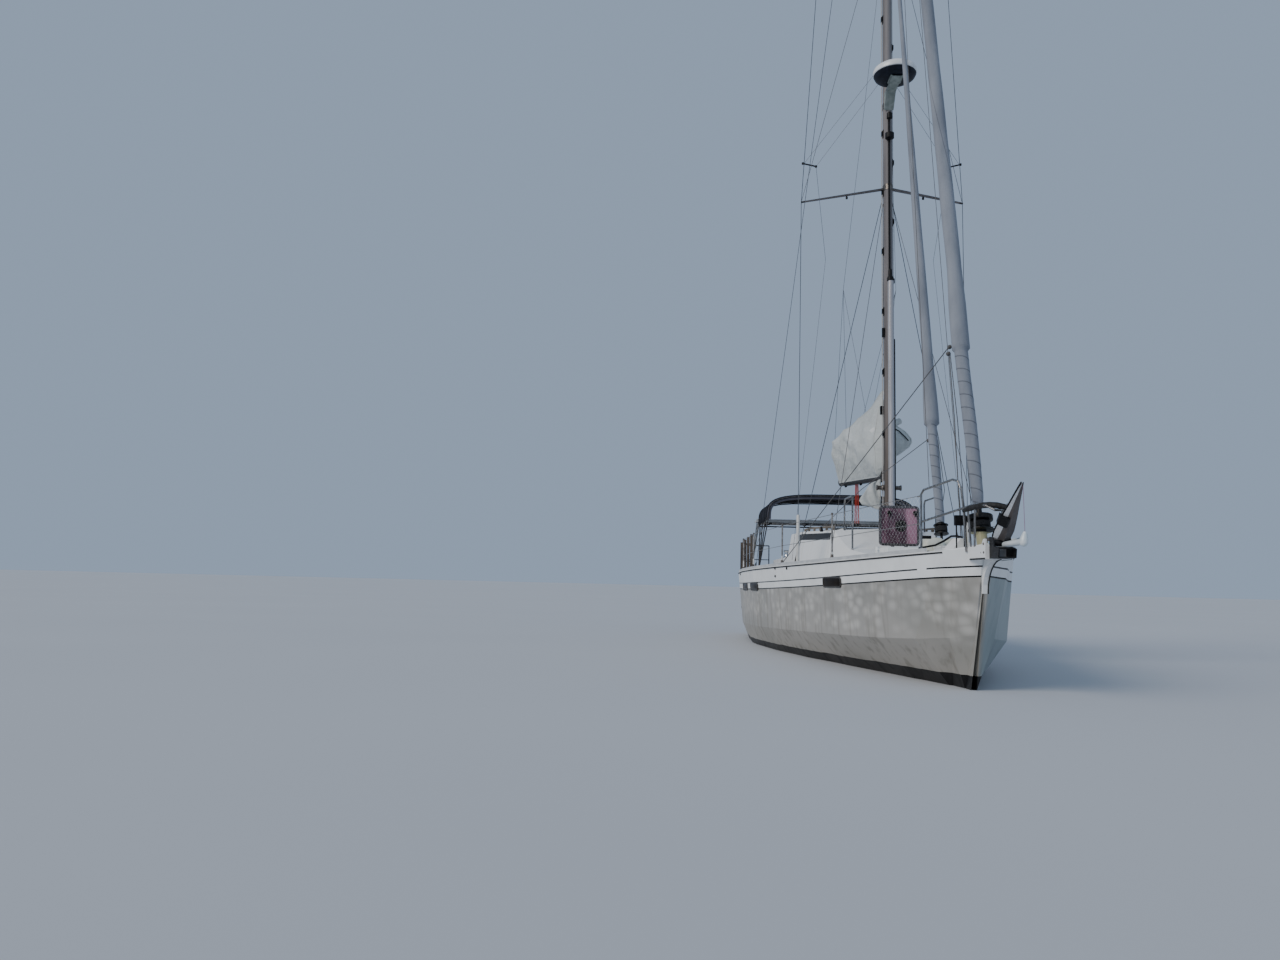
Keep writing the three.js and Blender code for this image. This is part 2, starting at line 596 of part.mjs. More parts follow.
// Furlers: drum and foot turned about the stay, from the sail's tack down to its seat
function alongStay({ tack, head }, profile, sides) {
  const turned = lathe(profile, sides);
  turned.rotateY(Math.atan2(head[0] - tack[0], head[1] - tack[1]));
  turned.translate(tack[0], 0, tack[1]);
  return solid(turned);
}
add('genoa_furler', cut(alongStay(GENOA, [
  [0, -460], [58, -460], [58, -292], [135, -286], [135, -270], [80, -262], [80, -180], [135, -172],
  [135, -120], [110, -110], [30, -105], [30, -SEAT], [0, -SEAT],
], 16), hullRoom), blackPlastic);
add('staysail_furler', cut(alongStay(STAYSAIL, [
  [0, -460], [16, -460], [16, -150], [90, -145], [90, -135], [60, -130], [60, -40], [90, -35], [90, -25],
  [24, -20], [24, -SEAT], [0, -SEAT],
], 14), hullRoom), blackPlastic);

// Mast: an oval tube with its head box
function ovalShape(chord, width) {
  const shape = new THREE.Shape();
  shape.absellipse(0, 0, chord / 2, width / 2, 0, Math.PI * 2);
  return shape;
}
const mastTube = new THREE.ExtrudeGeometry(ovalShape(MAST.chord, MAST.width), {
  depth: MAST.top - MAST.foot, bevelEnabled: false, curveSegments: 8,
});
mastTube.translate(MAST.x, 0, MAST.foot);
const mastBody = solid(mastTube);
const headBlock = (grow) => block(
  [MAST.x - 150 - grow, -40 - grow, MAST.top - 60 - grow],
  [MAST.x + 150 + grow, 40 + grow, MAST.top + 60 + grow],
);
add('mast', join(mastBody, headBlock(0)), sparGrey);
// The room that spreaders, wires and sails leave for the mast
const mastRoom = join(
  mastBody.translate([-MAST.x, 0, 0]).scale([1 + 2 * SEAT / MAST.chord, 1 + 2 * SEAT / MAST.width, 1])
    .translate([MAST.x, 0, 0]),
  headBlock(SEAT),
);

// Spreaders, swept aft, each a thin wing from the mast to its tip
Object.entries(SPREADERS).forEach(([level, [rootZ, tipZ, span, sweep]]) => {
  Object.entries(sideOf).forEach(([side, s]) => {
    const sections = [[0.03, 60, 24], [1, 42, 15]].map(([t, halfChord, halfDepth]) => {
      const x = MAST.x - sweep * t;
      const y = s * (span * t);
      const z = rootZ + (tipZ - rootZ) * t;
      return [[x + halfChord, y, z], [x, y, z + halfDepth], [x - halfChord, y, z], [x, y, z - halfDepth]];
    });
    add(`${level}_spreader_${side}`, cut(loft(sections), mastRoom), sparGrey);
  });
});

// Standing rigging
const tipOf = (level, s) => {
  const [, tipZ, span, sweep] = SPREADERS[level];
  return [MAST.x - sweep, s * (span + 1.5 * WIRE + SEAT), tipZ];
};
Object.entries(sideOf).forEach(([side, s]) => {
  const foot = [SHROUD_X, s * SHROUD_Y, deckZ(SHROUD_X, SHROUD_Y) - 20];
  const head = [MAST.x - 40, s * (MAST.width / 2 + 6), MAST.top - 180];
  const cap = join(
    tube([foot, tipOf('lower', s), tipOf('upper', s), head], WIRE, 6),
    rod(foot, [foot[0], foot[1] * 0.999, foot[2] + 420], 16, 8),
  );
  add(`cap_shroud_${side}`, cut(cap, hullRoom, mastRoom), stainless);
  const lowFoot = [LOWER_SHROUD_X, s * LOWER_SHROUD_Y, deckZ(LOWER_SHROUD_X, LOWER_SHROUD_Y) - 20];
  const lowHead = [MAST.x - 60, s * (MAST.width / 2 - 4), SPREADERS.lower[0] - 120];
  const low = rod(lowFoot, lowHead, WIRE, 6);
  add(`lower_shroud_${side}`, cut(low, hullRoom, mastRoom), stainless);
  const sternFoot = [BACKSTAY.x, s * BACKSTAY.y, 1250];
  const sternHead = [MAST.x - 150 - WIRE - SEAT, s * 20, MAST.top];
  add(`backstay_${side}`, cut(rod(sternFoot, sternHead, WIRE, 6), hullRoom), stainless);
});

// Furled headsails on their stays
function makeFurledSail({ tack, head, radii }) {
  const length = Math.hypot(head[0] - tack[0], head[1] - tack[1]);
  const top = radii[radii.length - 1][0];
  const foil = WIRE + 3;
  const profile = [[0, 0], ...radii.map(([h, r]) => [r, h]), [foil, top + 120], [foil, length], [0, length]];
  return cut(alongStay({ tack, head }, profile, 12), mastRoom);
}
add('genoa_furled', makeFurledSail(GENOA), sailCloth);
add('staysail_furled', makeFurledSail(STAYSAIL), sailCloth);

// Radar dome on its bracket, ahead of the mast
function makeRadar() {
  const profile = [[0, 0], [262, 0], [330, 62], [330, 135], [252, 222], [0, 255]];
  const dome = solid(lathe(profile, 20)).translate([1880, 0, 8930]);
  const bracket = plateXZ([[MAST.x + MAST.chord / 2 + SEAT, 8690], [1620, 8900], [2050, 8900], [2050, 8935],
    [MAST.x + MAST.chord / 2 + SEAT, 8935]], 60);
  return join(dome, bracket);
}
add('radar', makeRadar(), whitePaint);

// Pole stowed up the front of the mast, from its foot chock to its car
const poleX = MAST.x + MAST.chord / 2 + POLE.radius + 12;
add('spinnaker_pole', join(
  rod([poleX, 0, POLE.foot], [poleX, 0, POLE.top], POLE.radius, 10),
  block([MAST.x + MAST.chord / 2 + SEAT, -25, POLE.foot + 40], [poleX, 25, POLE.foot + 140]),
  block([MAST.x + MAST.chord / 2 + SEAT, -25, POLE.top - 140], [poleX, 25, POLE.top - 40]),
), sparGrey);

// Boom with its gooseneck, swinging about a vertical pin behind the mast
const PIN = { x: MAST.x - MAST.chord / 2 - 60, radius: 12 };
function boomZ(x) {
  return BOOM.z + ((BOOM.fore - x) / (BOOM.fore - BOOM.aft)) * BOOM.rise;
}
add('gooseneck', join(
  block([PIN.x - 30, -30, BOOM.z - 75], [MAST.x - MAST.chord / 2 - SEAT, 30, BOOM.z - 55]),
  block([PIN.x - 30, -30, BOOM.z + 55], [MAST.x - MAST.chord / 2 - SEAT, 30, BOOM.z + 75]),
  rod([PIN.x, 0, BOOM.z - 70], [PIN.x, 0, BOOM.z + 70], PIN.radius, 12),
  block([MAST.x - MAST.chord / 2 - 10, -30, BOOM.z - 75], [MAST.x - MAST.chord / 2 - SEAT, 30, BOOM.z + 75]),
), stainless);
function makeBoom() {
  const bar = new THREE.ExtrudeGeometry(ovalShape(BOOM.depth, BOOM.width), {
    depth: Math.hypot(BOOM.fore - BOOM.aft, BOOM.rise), bevelEnabled: false, curveSegments: 6,
  });
  bar.rotateY(-Math.PI / 2 + Math.atan2(BOOM.rise, BOOM.fore - BOOM.aft));
  bar.translate(BOOM.fore, 0, BOOM.z);
  const knuckle = rod([PIN.x, 0, BOOM.z - 48], [PIN.x, 0, BOOM.z + 48], 30, 16);
  const tang = block([BOOM.fore - 30, -15, BOOM.z - 40], [PIN.x - 10, 15, BOOM.z + 40]);
  const bore = rod([PIN.x, 0, BOOM.z - 60], [PIN.x, 0, BOOM.z + 60], boreFor(PIN.radius), 16);
  return cut(join(solid(bar), tang, knuckle), bore);
}
add('boom', makeBoom(), sparGrey);

// Mainsail bag on the boom, a V in section, in rows of x, half-width at the foot, half-width and height
// of its shoulder, half-width and height of its top, all over the boom's middle
function makeBag() {
  const low = BOOM.depth / 2 / Math.cos(Math.atan2(BOOM.rise, BOOM.fore - BOOM.aft)) + SEAT;
  const rows = [
    [1060, 60, 190, 480, 40, 1340],
    [500, 70, 225, 520, 100, 1170],
    [-100, 70, 240, 560, 170, 1030],
    [-1500, 70, 245, 620, 220, 900],
    [-2650, 65, 230, 600, 215, 790],
  ];
  return loft(rows.map(([x, foot, shoulder, rise, top, high]) => {
    const base = boomZ(x);
    const half = [[x, foot, base + low], [x, shoulder, base + rise], [x, top, base + high]];
    return [...half, ...half.slice().reverse().map(mirrorY)];
  }));
}
add('sail_bag', makeBag(), bagCloth);

// Foredeck hatch lid, standing open on its aft edge
const lidHalf = FOREHATCH.size / 2;
add('forehatch_lid', join(
  block([HINGE.x - 15, -lidHalf, HINGE.z + 20], [HINGE.x + 15, lidHalf, HINGE.z + 20 + FOREHATCH.size]),
  rod([HINGE.x, -HINGE.half, HINGE.z], [HINGE.x, HINGE.half, HINGE.z], 8, 12),
  block([HINGE.x - 8, -HINGE.half, HINGE.z], [HINGE.x + 8, HINGE.half, HINGE.z + 30]),
), darkGlass);

// Sliding hatch over the companionway
add('companionway_hatch', plateXY(
  [[ROOF[0][0], -360], [COMPANIONWAY.fore + 60, -360], [COMPANIONWAY.fore + 60, 360], [ROOF[0][0], 360]],
  HATCH_Z, 30,
), darkGlass);

// Cockpit locker lids, lying over their wells on the seats
Object.entries(sideOf).forEach(([side, s]) => {
  const low = [LOCKER.aft - 30, Math.min(s * (LOCKER.inner - 30), s * (LOCKER.outer + 30))];
  const high = [LOCKER.fore + 30, Math.max(s * (LOCKER.inner - 30), s * (LOCKER.outer + 30))];
  const z = deckZ(LOCKER.fore, LOCKER.inner - 30) + 1;
  add(`cockpit_locker_lid_${side}`, block([...low, z], [...high, z + 22]), whitePaint);
});

// Anchor locker lid
add('anchor_locker_lid', block(
  [ANCHOR_LOCKER.aft - 30, -ANCHOR_LOCKER.halfWidth - 30, ANCHOR_LOCKER.rimZ + SEAT],
  [ANCHOR_LOCKER.fore + 30, ANCHOR_LOCKER.halfWidth + 30, ANCHOR_LOCKER.rimZ + 20],
), whitePaint);

// Steering: pedestal in the footwell and wheel on its aft side
const WHEEL = { x: -4560, z: 1860, radius: 430, rim: 14, shaft: 14 };
function makePedestal() {
  const levels = [[-4480, -4300, 110, FOOTWELL.floor + SEAT], [-4450, -4340, 80, 1950]];
  const post = loft(levels.map(([x0, x1, half, z]) => [
    [x0, -half, z], [x1, -half, z], [x1, half, z], [x0, half, z],
  ]));
  const hub = rod([-4420, 0, WHEEL.z], [-4520, 0, WHEEL.z], 35, 16);
  const shaft = rod([-4520, 0, WHEEL.z], [-4585, 0, WHEEL.z], WHEEL.shaft, 16);
  return join(post, hub, shaft);
}
add('helm_pedestal', makePedestal(), whitePaint);
function makeWheel() {
  const rim = new THREE.TorusGeometry(WHEEL.radius, WHEEL.rim, 6, 30);
  rim.rotateY(Math.PI / 2);
  rim.translate(WHEEL.x, 0, WHEEL.z);
  const spokes = Array.from({ length: 5 }, (_, i) => {
    const turn = Math.PI / 2 + i * 2 * Math.PI / 5;
    return rod([WHEEL.x, 0, WHEEL.z],
      [WHEEL.x, Math.cos(turn) * WHEEL.radius, WHEEL.z + Math.sin(turn) * WHEEL.radius], 8);
  });
  const hub = rod([WHEEL.x - 18, 0, WHEEL.z], [WHEEL.x + 18, 0, WHEEL.z], 50, 16);
  const bore = rod([WHEEL.x - 60, 0, WHEEL.z], [WHEEL.x + 60, 0, WHEEL.z], boreFor(WHEEL.shaft), 16);
  return cut(join(solid(rim), ...spokes, hub), bore);
}
add('helm_wheel', makeWheel(), stainless);

// Rudder with its stock
function makeRudder() {
  const aft = RUDDER.x - RUDDER.chord + 130;
  const blade = loft([[RUDDER.top, 1], [RUDDER.tip, 0.75]].map(([z, k]) => [
    [RUDDER.x + 130 * k, 0, z], [RUDDER.x + 40 * k, 34 * k, z], [RUDDER.x + (aft - RUDDER.x) * k, 4, z],
    [RUDDER.x + (aft - RUDDER.x) * k, -4, z], [RUDDER.x + 40 * k, -34 * k, z],
  ]));
  const stock = rod([RUDDER.x, 0, RUDDER.top - 10], [RUDDER.x, 0, 140], RUDDER.stockRadius, 16);
  return join(blade, stock);
}
add('rudder', makeRudder(), antifouling);

// Propeller on its shaft
function makePropeller() {
  const { radius, hubRadius, hubLength, blades } = PROPELLER;
  const hubX = SHAFT.x - SHAFT.length + hubLength / 2;
  const shaft = rod([SHAFT.x + 145, 0, SHAFT.z], [hubX, 0, SHAFT.z], SHAFT.radius, 16);
  const hub = rod([hubX + hubLength / 2, 0, SHAFT.z], [hubX - hubLength / 2, 0, SHAFT.z], hubRadius, 16, 20);
  const wings = Array.from({ length: blades }, (_, i) => {
    const edge = [[50, 20], [95, radius * 0.65], [40, radius]];
    const outline = [...edge, ...edge.map(([x, y]) => [-x, y]).reverse()];
    const shape = new THREE.Shape(outline.map(([x, y]) => new THREE.Vector2(x, y)));
    const blade = new THREE.ExtrudeGeometry(shape, { depth: 8, bevelEnabled: false });
    blade.translate(0, 0, -4);
    blade.rotateY(Math.PI / 2 - 0.6);
    blade.rotateX(Math.PI / 2 + i * 2 * Math.PI / blades);
    blade.translate(hubX, 0, SHAFT.z);
    return solid(blade);
  });
  return join(shaft, hub, ...wings);
}
add('propeller', makePropeller(), finish(0xb08a3e, 0.35, 1));

// Centreboard, lowered, with its pivot pin across the trunk
function makeBoard() {
  const { pivotX: x, pivotZ: z, lead, trail, rise, drop, thick } = BOARD;
  const blade = plateXZ([
    [x + lead, z + rise], [x + trail, z + rise], [x + trail + 150, z - drop + 60],
    [x + trail + 240, z - drop], [x + lead - 60, z - drop], [x + lead, z - drop + 120],
  ], thick / 2);
  const pin = rod([x, -TRUNK.slot / 2 + SEAT, z], [x, TRUNK.slot / 2 - SEAT, z], 25, 16);
  return join(blade, pin);
}
add('centreboard', makeBoard(), antifouling);

// Stern arch with the solar panel on it
function makeArch() {
  const { aft, fore, half, z, tube: radius } = ARCH;
  const legs = [-1, 1].flatMap((s) => [
    rod([aft + 60, s * 1600, 1250], [aft, s * half, z], radius),
    rod([fore + 120, s * 1640, 1250], [fore, s * half, z], radius),
    rod([aft, s * half, z], [fore, s * half, z], radius),
  ]);
  const beams = [aft, fore].map((x) => rod([x, -half - 20, z], [x, half + 20, z], radius));
  return cut(join(...legs, ...beams), hullRoom);
}
add('stern_arch', makeArch(), stainless);
add('solar_panel', block(
  [ARCH.aft - 40, -ARCH.half - 50, ARCH.z + ARCH.tube + SEAT],
  [ARCH.fore + 60, ARCH.half + 50, ARCH.z + ARCH.tube + 35],
), darkGlass);

// Arch of the bimini across the boat, port to starboard: a rounded-square curve of y and z
function archPoints(half, rise) {
  const steps = 12;
  const bend = (value) => Math.sign(value) * Math.sqrt(Math.abs(value));
  return Array.from({ length: steps + 1 }, (_, i) => {
    const turn = Math.PI * i / steps;
    return [half * bend(Math.cos(turn)), BIMINI.low + rise * bend(Math.sin(turn))];
  });
}

// Bimini frame: four bows on one foot at each side of the deck
function makeBiminiFrame() {
  const { aft, fore, half, rise, cloth } = BIMINI;
  const { x: footX, y: footY } = BIMINI_FOOT;
  const inset = cloth + BOW_TUBE + SEAT;
  const footZ = deckZ(footX, footY);
  const bow = (x) => tube([
    [footX, footY, footZ + 40],
    ...archPoints(half - inset, rise - inset).map(([y, z]) => [x, y, z]),
    [footX, -footY, footZ + 40],
  ], BOW_TUBE, 6);
  const feet = [-1, 1].map((s) => block(
    [footX - 50, s * footY - 30, footZ - 60], [footX + 50, s * footY + 30, footZ + 60],
  ));
  const bows = [fore + 30, fore - 600, aft + 650, aft + 30].map(bow);
  return cut(join(...bows, ...feet), hullRoom);
}
add('bimini_frame', makeBiminiFrame(), stainless);

// Bimini canopy: one cloth over the bows, drawn down at each side
const canopyOutline = [
  ...archPoints(BIMINI.half, BIMINI.rise),
  ...archPoints(BIMINI.half - BIMINI.cloth, BIMINI.rise - BIMINI.cloth).reverse(),
];
add('bimini_canopy', plateYZ(canopyOutline, BIMINI.aft, BIMINI.fore - BIMINI.aft), navyCanvas);

// Swim ladder, folded up behind the platform, on a pin between two ears
function makeLadder() {
  const { x, z, half, height } = LADDER;
  const sides = [-1, 1].map((s) => rod([x, s * (half - 20), z], [x, s * (half - 20), z + height], 13));
  const rungs = [200, 430, 660, height].map((rise) => (
    rod([x, 20 - half, z + rise], [x, half - 20, z + rise], 13)
  ));
  return join(...sides, ...rungs, rod([x, -half, z], [x, half, z], 13));
}
add('swim_ladder', makeLadder(), stainless);

// Primary winches on the coamings
Object.entries(sideOf).forEach(([side, s]) => {
  const profile = [[0, 0], [75, 0], [75, 20], [52, 40], [52, 110], [70, 130], [70, 150], [0, 150]];
  const drum = solid(lathe(profile, 14));
  add(`winch_${side}`, drum.translate([-3100, s * 1040, COAMING.z + SEAT]), stainless);
});

export default parts;
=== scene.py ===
import math
import random

import bmesh
import bpy
from mathutils import Matrix, Vector


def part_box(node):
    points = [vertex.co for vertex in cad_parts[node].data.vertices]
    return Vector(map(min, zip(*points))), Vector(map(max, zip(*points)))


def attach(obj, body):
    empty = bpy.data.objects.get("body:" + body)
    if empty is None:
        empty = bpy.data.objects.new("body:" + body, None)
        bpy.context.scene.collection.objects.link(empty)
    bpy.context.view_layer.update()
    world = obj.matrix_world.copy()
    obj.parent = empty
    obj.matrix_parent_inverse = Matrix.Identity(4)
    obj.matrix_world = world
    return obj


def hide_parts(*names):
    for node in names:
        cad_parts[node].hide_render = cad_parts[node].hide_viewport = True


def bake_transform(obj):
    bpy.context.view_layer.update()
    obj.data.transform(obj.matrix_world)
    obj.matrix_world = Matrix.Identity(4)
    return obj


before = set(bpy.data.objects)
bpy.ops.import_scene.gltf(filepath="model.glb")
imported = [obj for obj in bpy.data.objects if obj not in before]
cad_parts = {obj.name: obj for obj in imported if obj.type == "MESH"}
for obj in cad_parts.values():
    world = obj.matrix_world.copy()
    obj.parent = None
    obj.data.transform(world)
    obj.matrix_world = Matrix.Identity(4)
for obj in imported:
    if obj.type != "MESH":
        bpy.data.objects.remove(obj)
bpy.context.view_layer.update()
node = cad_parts
hull_body = node["hull"]


# Studio and camera
# The camera stands as low as the eyes of someone in a small boat, off the starboard bow.
# The floor lies at the waterline, so the keel, rudder and centreboard are under it.
eye = Vector((16.179, -3.260, 1.066))
yaw = math.radians(-2.212)
pitch = math.radians(6.147)
roll = math.radians(1.353)
ahead = Vector((-math.cos(yaw), math.sin(yaw), 0))
right = Vector((math.sin(yaw), math.cos(yaw), 0))
sight = ahead * math.cos(pitch) + Vector((0, 0, math.sin(pitch)))
top = right.cross(sight)
across = right * math.cos(roll) + top * math.sin(roll)
camera = bpy.data.objects.new("camera", bpy.data.cameras.new("camera"))
camera.data.sensor_width = 36
camera.data.lens = 27.03
camera.data.clip_end = 3000
camera.matrix_world = Matrix((across, across.cross(sight), -sight)).transposed().to_4x4()
camera.location = eye
bpy.context.scene.collection.objects.link(camera)
bpy.context.scene.camera = camera


class Varying:
    """A number that varies over a surface. Sums and products on it add Math nodes."""

    def __init__(self, finish, socket):
        self.finish = finish
        self.socket = socket

    def math(self, operation, *values):
        sockets = dict(enumerate((self, *values)))
        return self.finish.node("Math", {"operation": operation}, sockets)

    def back(self, operation, value):
        return self.finish.node("Math", {"operation": operation}, {0: value, 1: self})

    def __add__(self, value):
        return self.math("ADD", value)

    def __sub__(self, value):
        return self.math("SUBTRACT", value)

    def __rsub__(self, value):
        return self.back("SUBTRACT", value)

    def __mul__(self, value):
        return self.math("MULTIPLY", value)

    def __truediv__(self, value):
        return self.math("DIVIDE", value)

    def __gt__(self, value):
        return self.math("GREATER_THAN", value)

    def __lt__(self, value):
        return self.math("LESS_THAN", value)

    __radd__ = __add__
    __rmul__ = __mul__

    def between(self, low, high):
        return (self > low) * (self < high)

    def ease(self, low, high, start=0.0, end=1.0):
        sockets = {"Value": self, "From Min": low, "From Max": high, "To Min": start, "To Max": end}
        return self.finish.node("MapRange", {"interpolation_type": "SMOOTHSTEP"}, sockets)


class Finish:
    """One finish: a shader, and the procedural nodes that feed it."""

    def __init__(self, name, **sockets):
        self.material = bpy.data.materials.new(name)
        self.material.use_nodes = True
        self.tree = self.material.node_tree
        self.shader = self.tree.nodes["Principled BSDF"]
        self.place = self.node("TexCoord", output="Object")
        self.x, self.y, self.z = [
            self.node("SeparateXYZ", sockets={0: self.place}, output=axis) for axis in range(3)
        ]
        self.set(**sockets)

    def node(self, kind, settings=None, sockets=None, output=0):
        made = self.tree.nodes.new("ShaderNode" + kind)
        for key, value in (settings or {}).items():
            setattr(made, key, value)
        for key, value in (sockets or {}).items():
            self.feed(made.inputs[key], value)
        return Varying(self, made.outputs[output])

    def feed(self, socket, value):
        if isinstance(value, Varying):
            self.tree.links.new(value.socket, socket)
        elif isinstance(value, tuple) and len(value) == 3 and socket.type == "RGBA":
            socket.default_value = (*value, 1)
        else:
            socket.default_value = value

    def set(self, **sockets):
        for key, value in sockets.items():
            self.feed(self.shader.inputs[key.replace("_", " ").title().replace("Ior", "IOR")], value)
        return self

    def noise(self, scale, detail=2.0, stretch=(1, 1, 1)):
        at = self.node("Mapping", sockets={"Vector": self.place, "Scale": stretch})
        return self.node("TexNoise", sockets={"Vector": at, "Scale": scale, "Detail": detail})

    def cells(self, scale, stretch=(1, 1, 1), feature="SMOOTH_F1"):
        at = self.node("Mapping", sockets={"Vector": self.place, "Scale": stretch})
        return self.node("TexVoronoi", {"feature": feature}, {"Vector": at, "Scale": scale})

    def wave(self, scale, turn=(0, 0, 0), distortion=0.0):
        at = self.node("Mapping", sockets={"Vector": self.place, "Rotation": turn})
        sockets = {"Vector": at, "Scale": scale, "Distortion": distortion}
        return self.node("TexWave", sockets=sockets, output="Fac")

    def mix(self, mask, below, above, blend="MIX"):
        settings = {"data_type": "RGBA", "blend_type": blend}
        return self.node("Mix", settings, {0: mask, 6: below, 7: above}, output=2)

    def bump(self, height, distance, strength=1.0):
        sockets = {"Height": height, "Distance": distance, "Strength": strength}
        return self.set(normal=self.node("Bump", sockets=sockets))


def around(count):
    return [2 * math.pi * k / count for k in range(count)]


def mottled(name, low, high, pattern, span=None, rough=None, relief=None, kind=Finish.noise, **sockets):
    """A finish whose colour, and where asked its roughness and relief, follow one pattern."""
    finish = Finish(name, **sockets)
    drift = kind(finish, *pattern)
    if span:
        drift = drift.ease(*span)
    finish.set(base_color=finish.mix(drift, low, high))
    if rough:
        finish.set(roughness=rough[0] + rough[1] * drift)
    if relief:
        finish.bump(drift, relief)
    return finish


studio_floor = mottled("studio_floor", (0.50, 0.52, 0.55), (0.54, 0.56, 0.59), (0.15,), roughness=0.85)
FLOOR_REACH = 900
floor_mesh = bpy.data.meshes.new("floor")
floor_mesh.from_pydata(
    [(x * FLOOR_REACH, y * FLOOR_REACH, 0) for x, y in ((-1, -1), (1, -1), (1, 1), (-1, 1))],
    [], [(0, 1, 2, 3)],
)
floor_mesh.materials.append(studio_floor.material)
floor = bpy.data.objects.new("floor", floor_mesh)
bpy.context.scene.collection.objects.link(floor)

world = bpy.data.worlds.new("studio")
bpy.context.scene.world = world
world.use_nodes = True
world.node_tree.nodes["Background"].inputs["Color"].default_value = (0.50, 0.64, 0.86, 1)
world.node_tree.nodes["Background"].inputs["Strength"].default_value = 0.58
for name, towards, strength, spread, tint in (
    ("key", (-0.45, 0.72, -0.52), 1.9, 30, (1.0, 0.92, 0.82)),
    ("fill", (-0.75, -0.45, -0.55), 0.18, 60, (0.70, 0.85, 1.0)),
):
    lamp = bpy.data.lights.new(name, "SUN")
    lamp.energy = strength
    lamp.angle = math.radians(spread)
    lamp.color = tint
    lamp_stand = bpy.data.objects.new(name, lamp)
    lamp_stand.rotation_euler = Vector(towards).to_track_quat("-Z", "Y").to_euler()
    bpy.context.scene.collection.objects.link(lamp_stand)


# Hull plating
# Bare aluminium plate, welded on frames and left unpainted, with white paint above its lower
# stripe, two black stripes, a black boot-top and black antifouling under the water.
plating = Finish("bare_aluminium", specular_ior_level=0.3)
x, z = plating.x, plating.z
facing = plating.node("NewGeometry", output="Normal")
facing_x, _, facing_z = [
    plating.node("SeparateXYZ", sockets={0: facing}, output=axis) for axis in range(3)
]
blotches = plating.noise(0.7, 4, (1, 1, 1.4)).ease(0.35, 0.65)
swirl = plating.cells(8.2, (0.55, 0.5, 0.9), "F1").ease(0.08, 0.68, 1.0, 0.0)
swirl = swirl * plating.noise(1.1, 2, (1, 1, 1.5)).ease(0.30, 0.52, 0.25, 1.0)
brushed = swirl * z.ease(0.44, 0.60) * (0.55 + 0.45 * x.ease(-4.5, 1.0))
# The swirls are kept off the port bow, so that it stays in its painted shade.
brushed = brushed * (1 - (plating.y > 0) * (x > 3.2))
streaks = plating.noise(3.2, 3, (2.6, 2.6, 0.22)).ease(0.48, 0.72)
low_grime = z.ease(0.15, 0.95, 1.0, 0.0)
bare = plating.mix(blotches, (0.40, 0.385, 0.345), (0.50, 0.475, 0.43))
bare = plating.mix(brushed * 0.55, bare, (0.80, 0.775, 0.72))
bare = plating.mix(streaks * (0.25 + 0.30 * low_grime), bare, (0.24, 0.22, 0.185))
# Painted shade: the port bow is tinted towards a dark blue-grey, for shade with the sky reflected in it.
port_bow_painted_shade = plating.y.ease(0.03, 0.10) * x.ease(3.0, 4.5)
bare = plating.mix(port_bow_painted_shade * 0.6, bare, (0.30, 0.40, 0.44))
# Painted shade: the stem's narrow flat face, which points ahead, is coloured dark grey.
bare = plating.mix(facing_x > 0.93, bare, (0.12, 0.15, 0.155))
UPPER_STRIPE = (1.1445, 0.01567, 0.002686)
LOWER_STRIPE = (1.0445, 0.01681, 0.002637)
STRIPE = 0.0085
STRIPE_BLACK = (0.004, 0.004, 0.005)
upper = z - (UPPER_STRIPE[0] + x * (UPPER_STRIPE[1] + x * UPPER_STRIPE[2]))
lower = z - (LOWER_STRIPE[0] + x * (LOWER_STRIPE[1] + x * LOWER_STRIPE[2]))
paint_wear = plating.noise(5, 4).ease(0.3, 0.8)
white = plating.mix(paint_wear, (0.84, 0.86, 0.86), (0.76, 0.78, 0.78))
grip = plating.cells(260, feature="F1").ease(0.1, 0.6)
tread = (facing_z > 0.85) * (z > 0.35)
deck_paint = plating.mix(grip, (0.60, 0.62, 0.63), (0.70, 0.72, 0.72))
white = plating.mix(tread, white, deck_paint)
knee = (x > 5.868) * (plating.y.math("ABSOLUTE") < 0.034) * (z > 1.03)
painted = ((lower > 0) * (z > 0.9)).math("MAXIMUM", knee)
skin = plating.mix(painted, bare, white)
skin = plating.mix(tread * (1 - painted), skin, deck_paint)
unbroken = 1 - x.between(5.16, 5.32)
stripes = upper.between(-STRIPE, STRIPE) * unbroken + lower.between(-2 * STRIPE, 0)
stripes = stripes * (1 - tread) * (1 - knee) * (x > -5.93)
# The platform's front face, ahead of x 6.315 and below z 1.52 between the roller's cheeks, is made black with
# the stripes.
skin = plating.mix(stripes.math("MAXIMUM", (x > 6.315) * (z < 1.52)), skin, STRIPE_BLACK)
wet = plating.noise(2.5, 2, (1, 1, 0.01)) * 0.03
boot = z < (0.105 + 0.006 * x + wet)
skin = plating.mix(boot * (z > -1.2), skin, STRIPE_BLACK)
plating.set(base_color=skin)
plating.set(roughness=0.42 + 0.12 * brushed + 0.1 * streaks - 0.1 * painted + 0.15 * tread)
plating.set(metallic=0.5 - 0.5 * painted - 0.5 * boot * (1 - painted))
frames = (x / 0.62).math("PINGPONG", 0.5).ease(0.0, 0.5)
plating.bump(0.5 * frames + 0.5 * blotches + 0.25 * tread * grip, 0.004)


def dress(finish, *names):
    for name in names:
        for held in node[name].material_slots:
            held.material = finish.material


dress(plating, "hull")


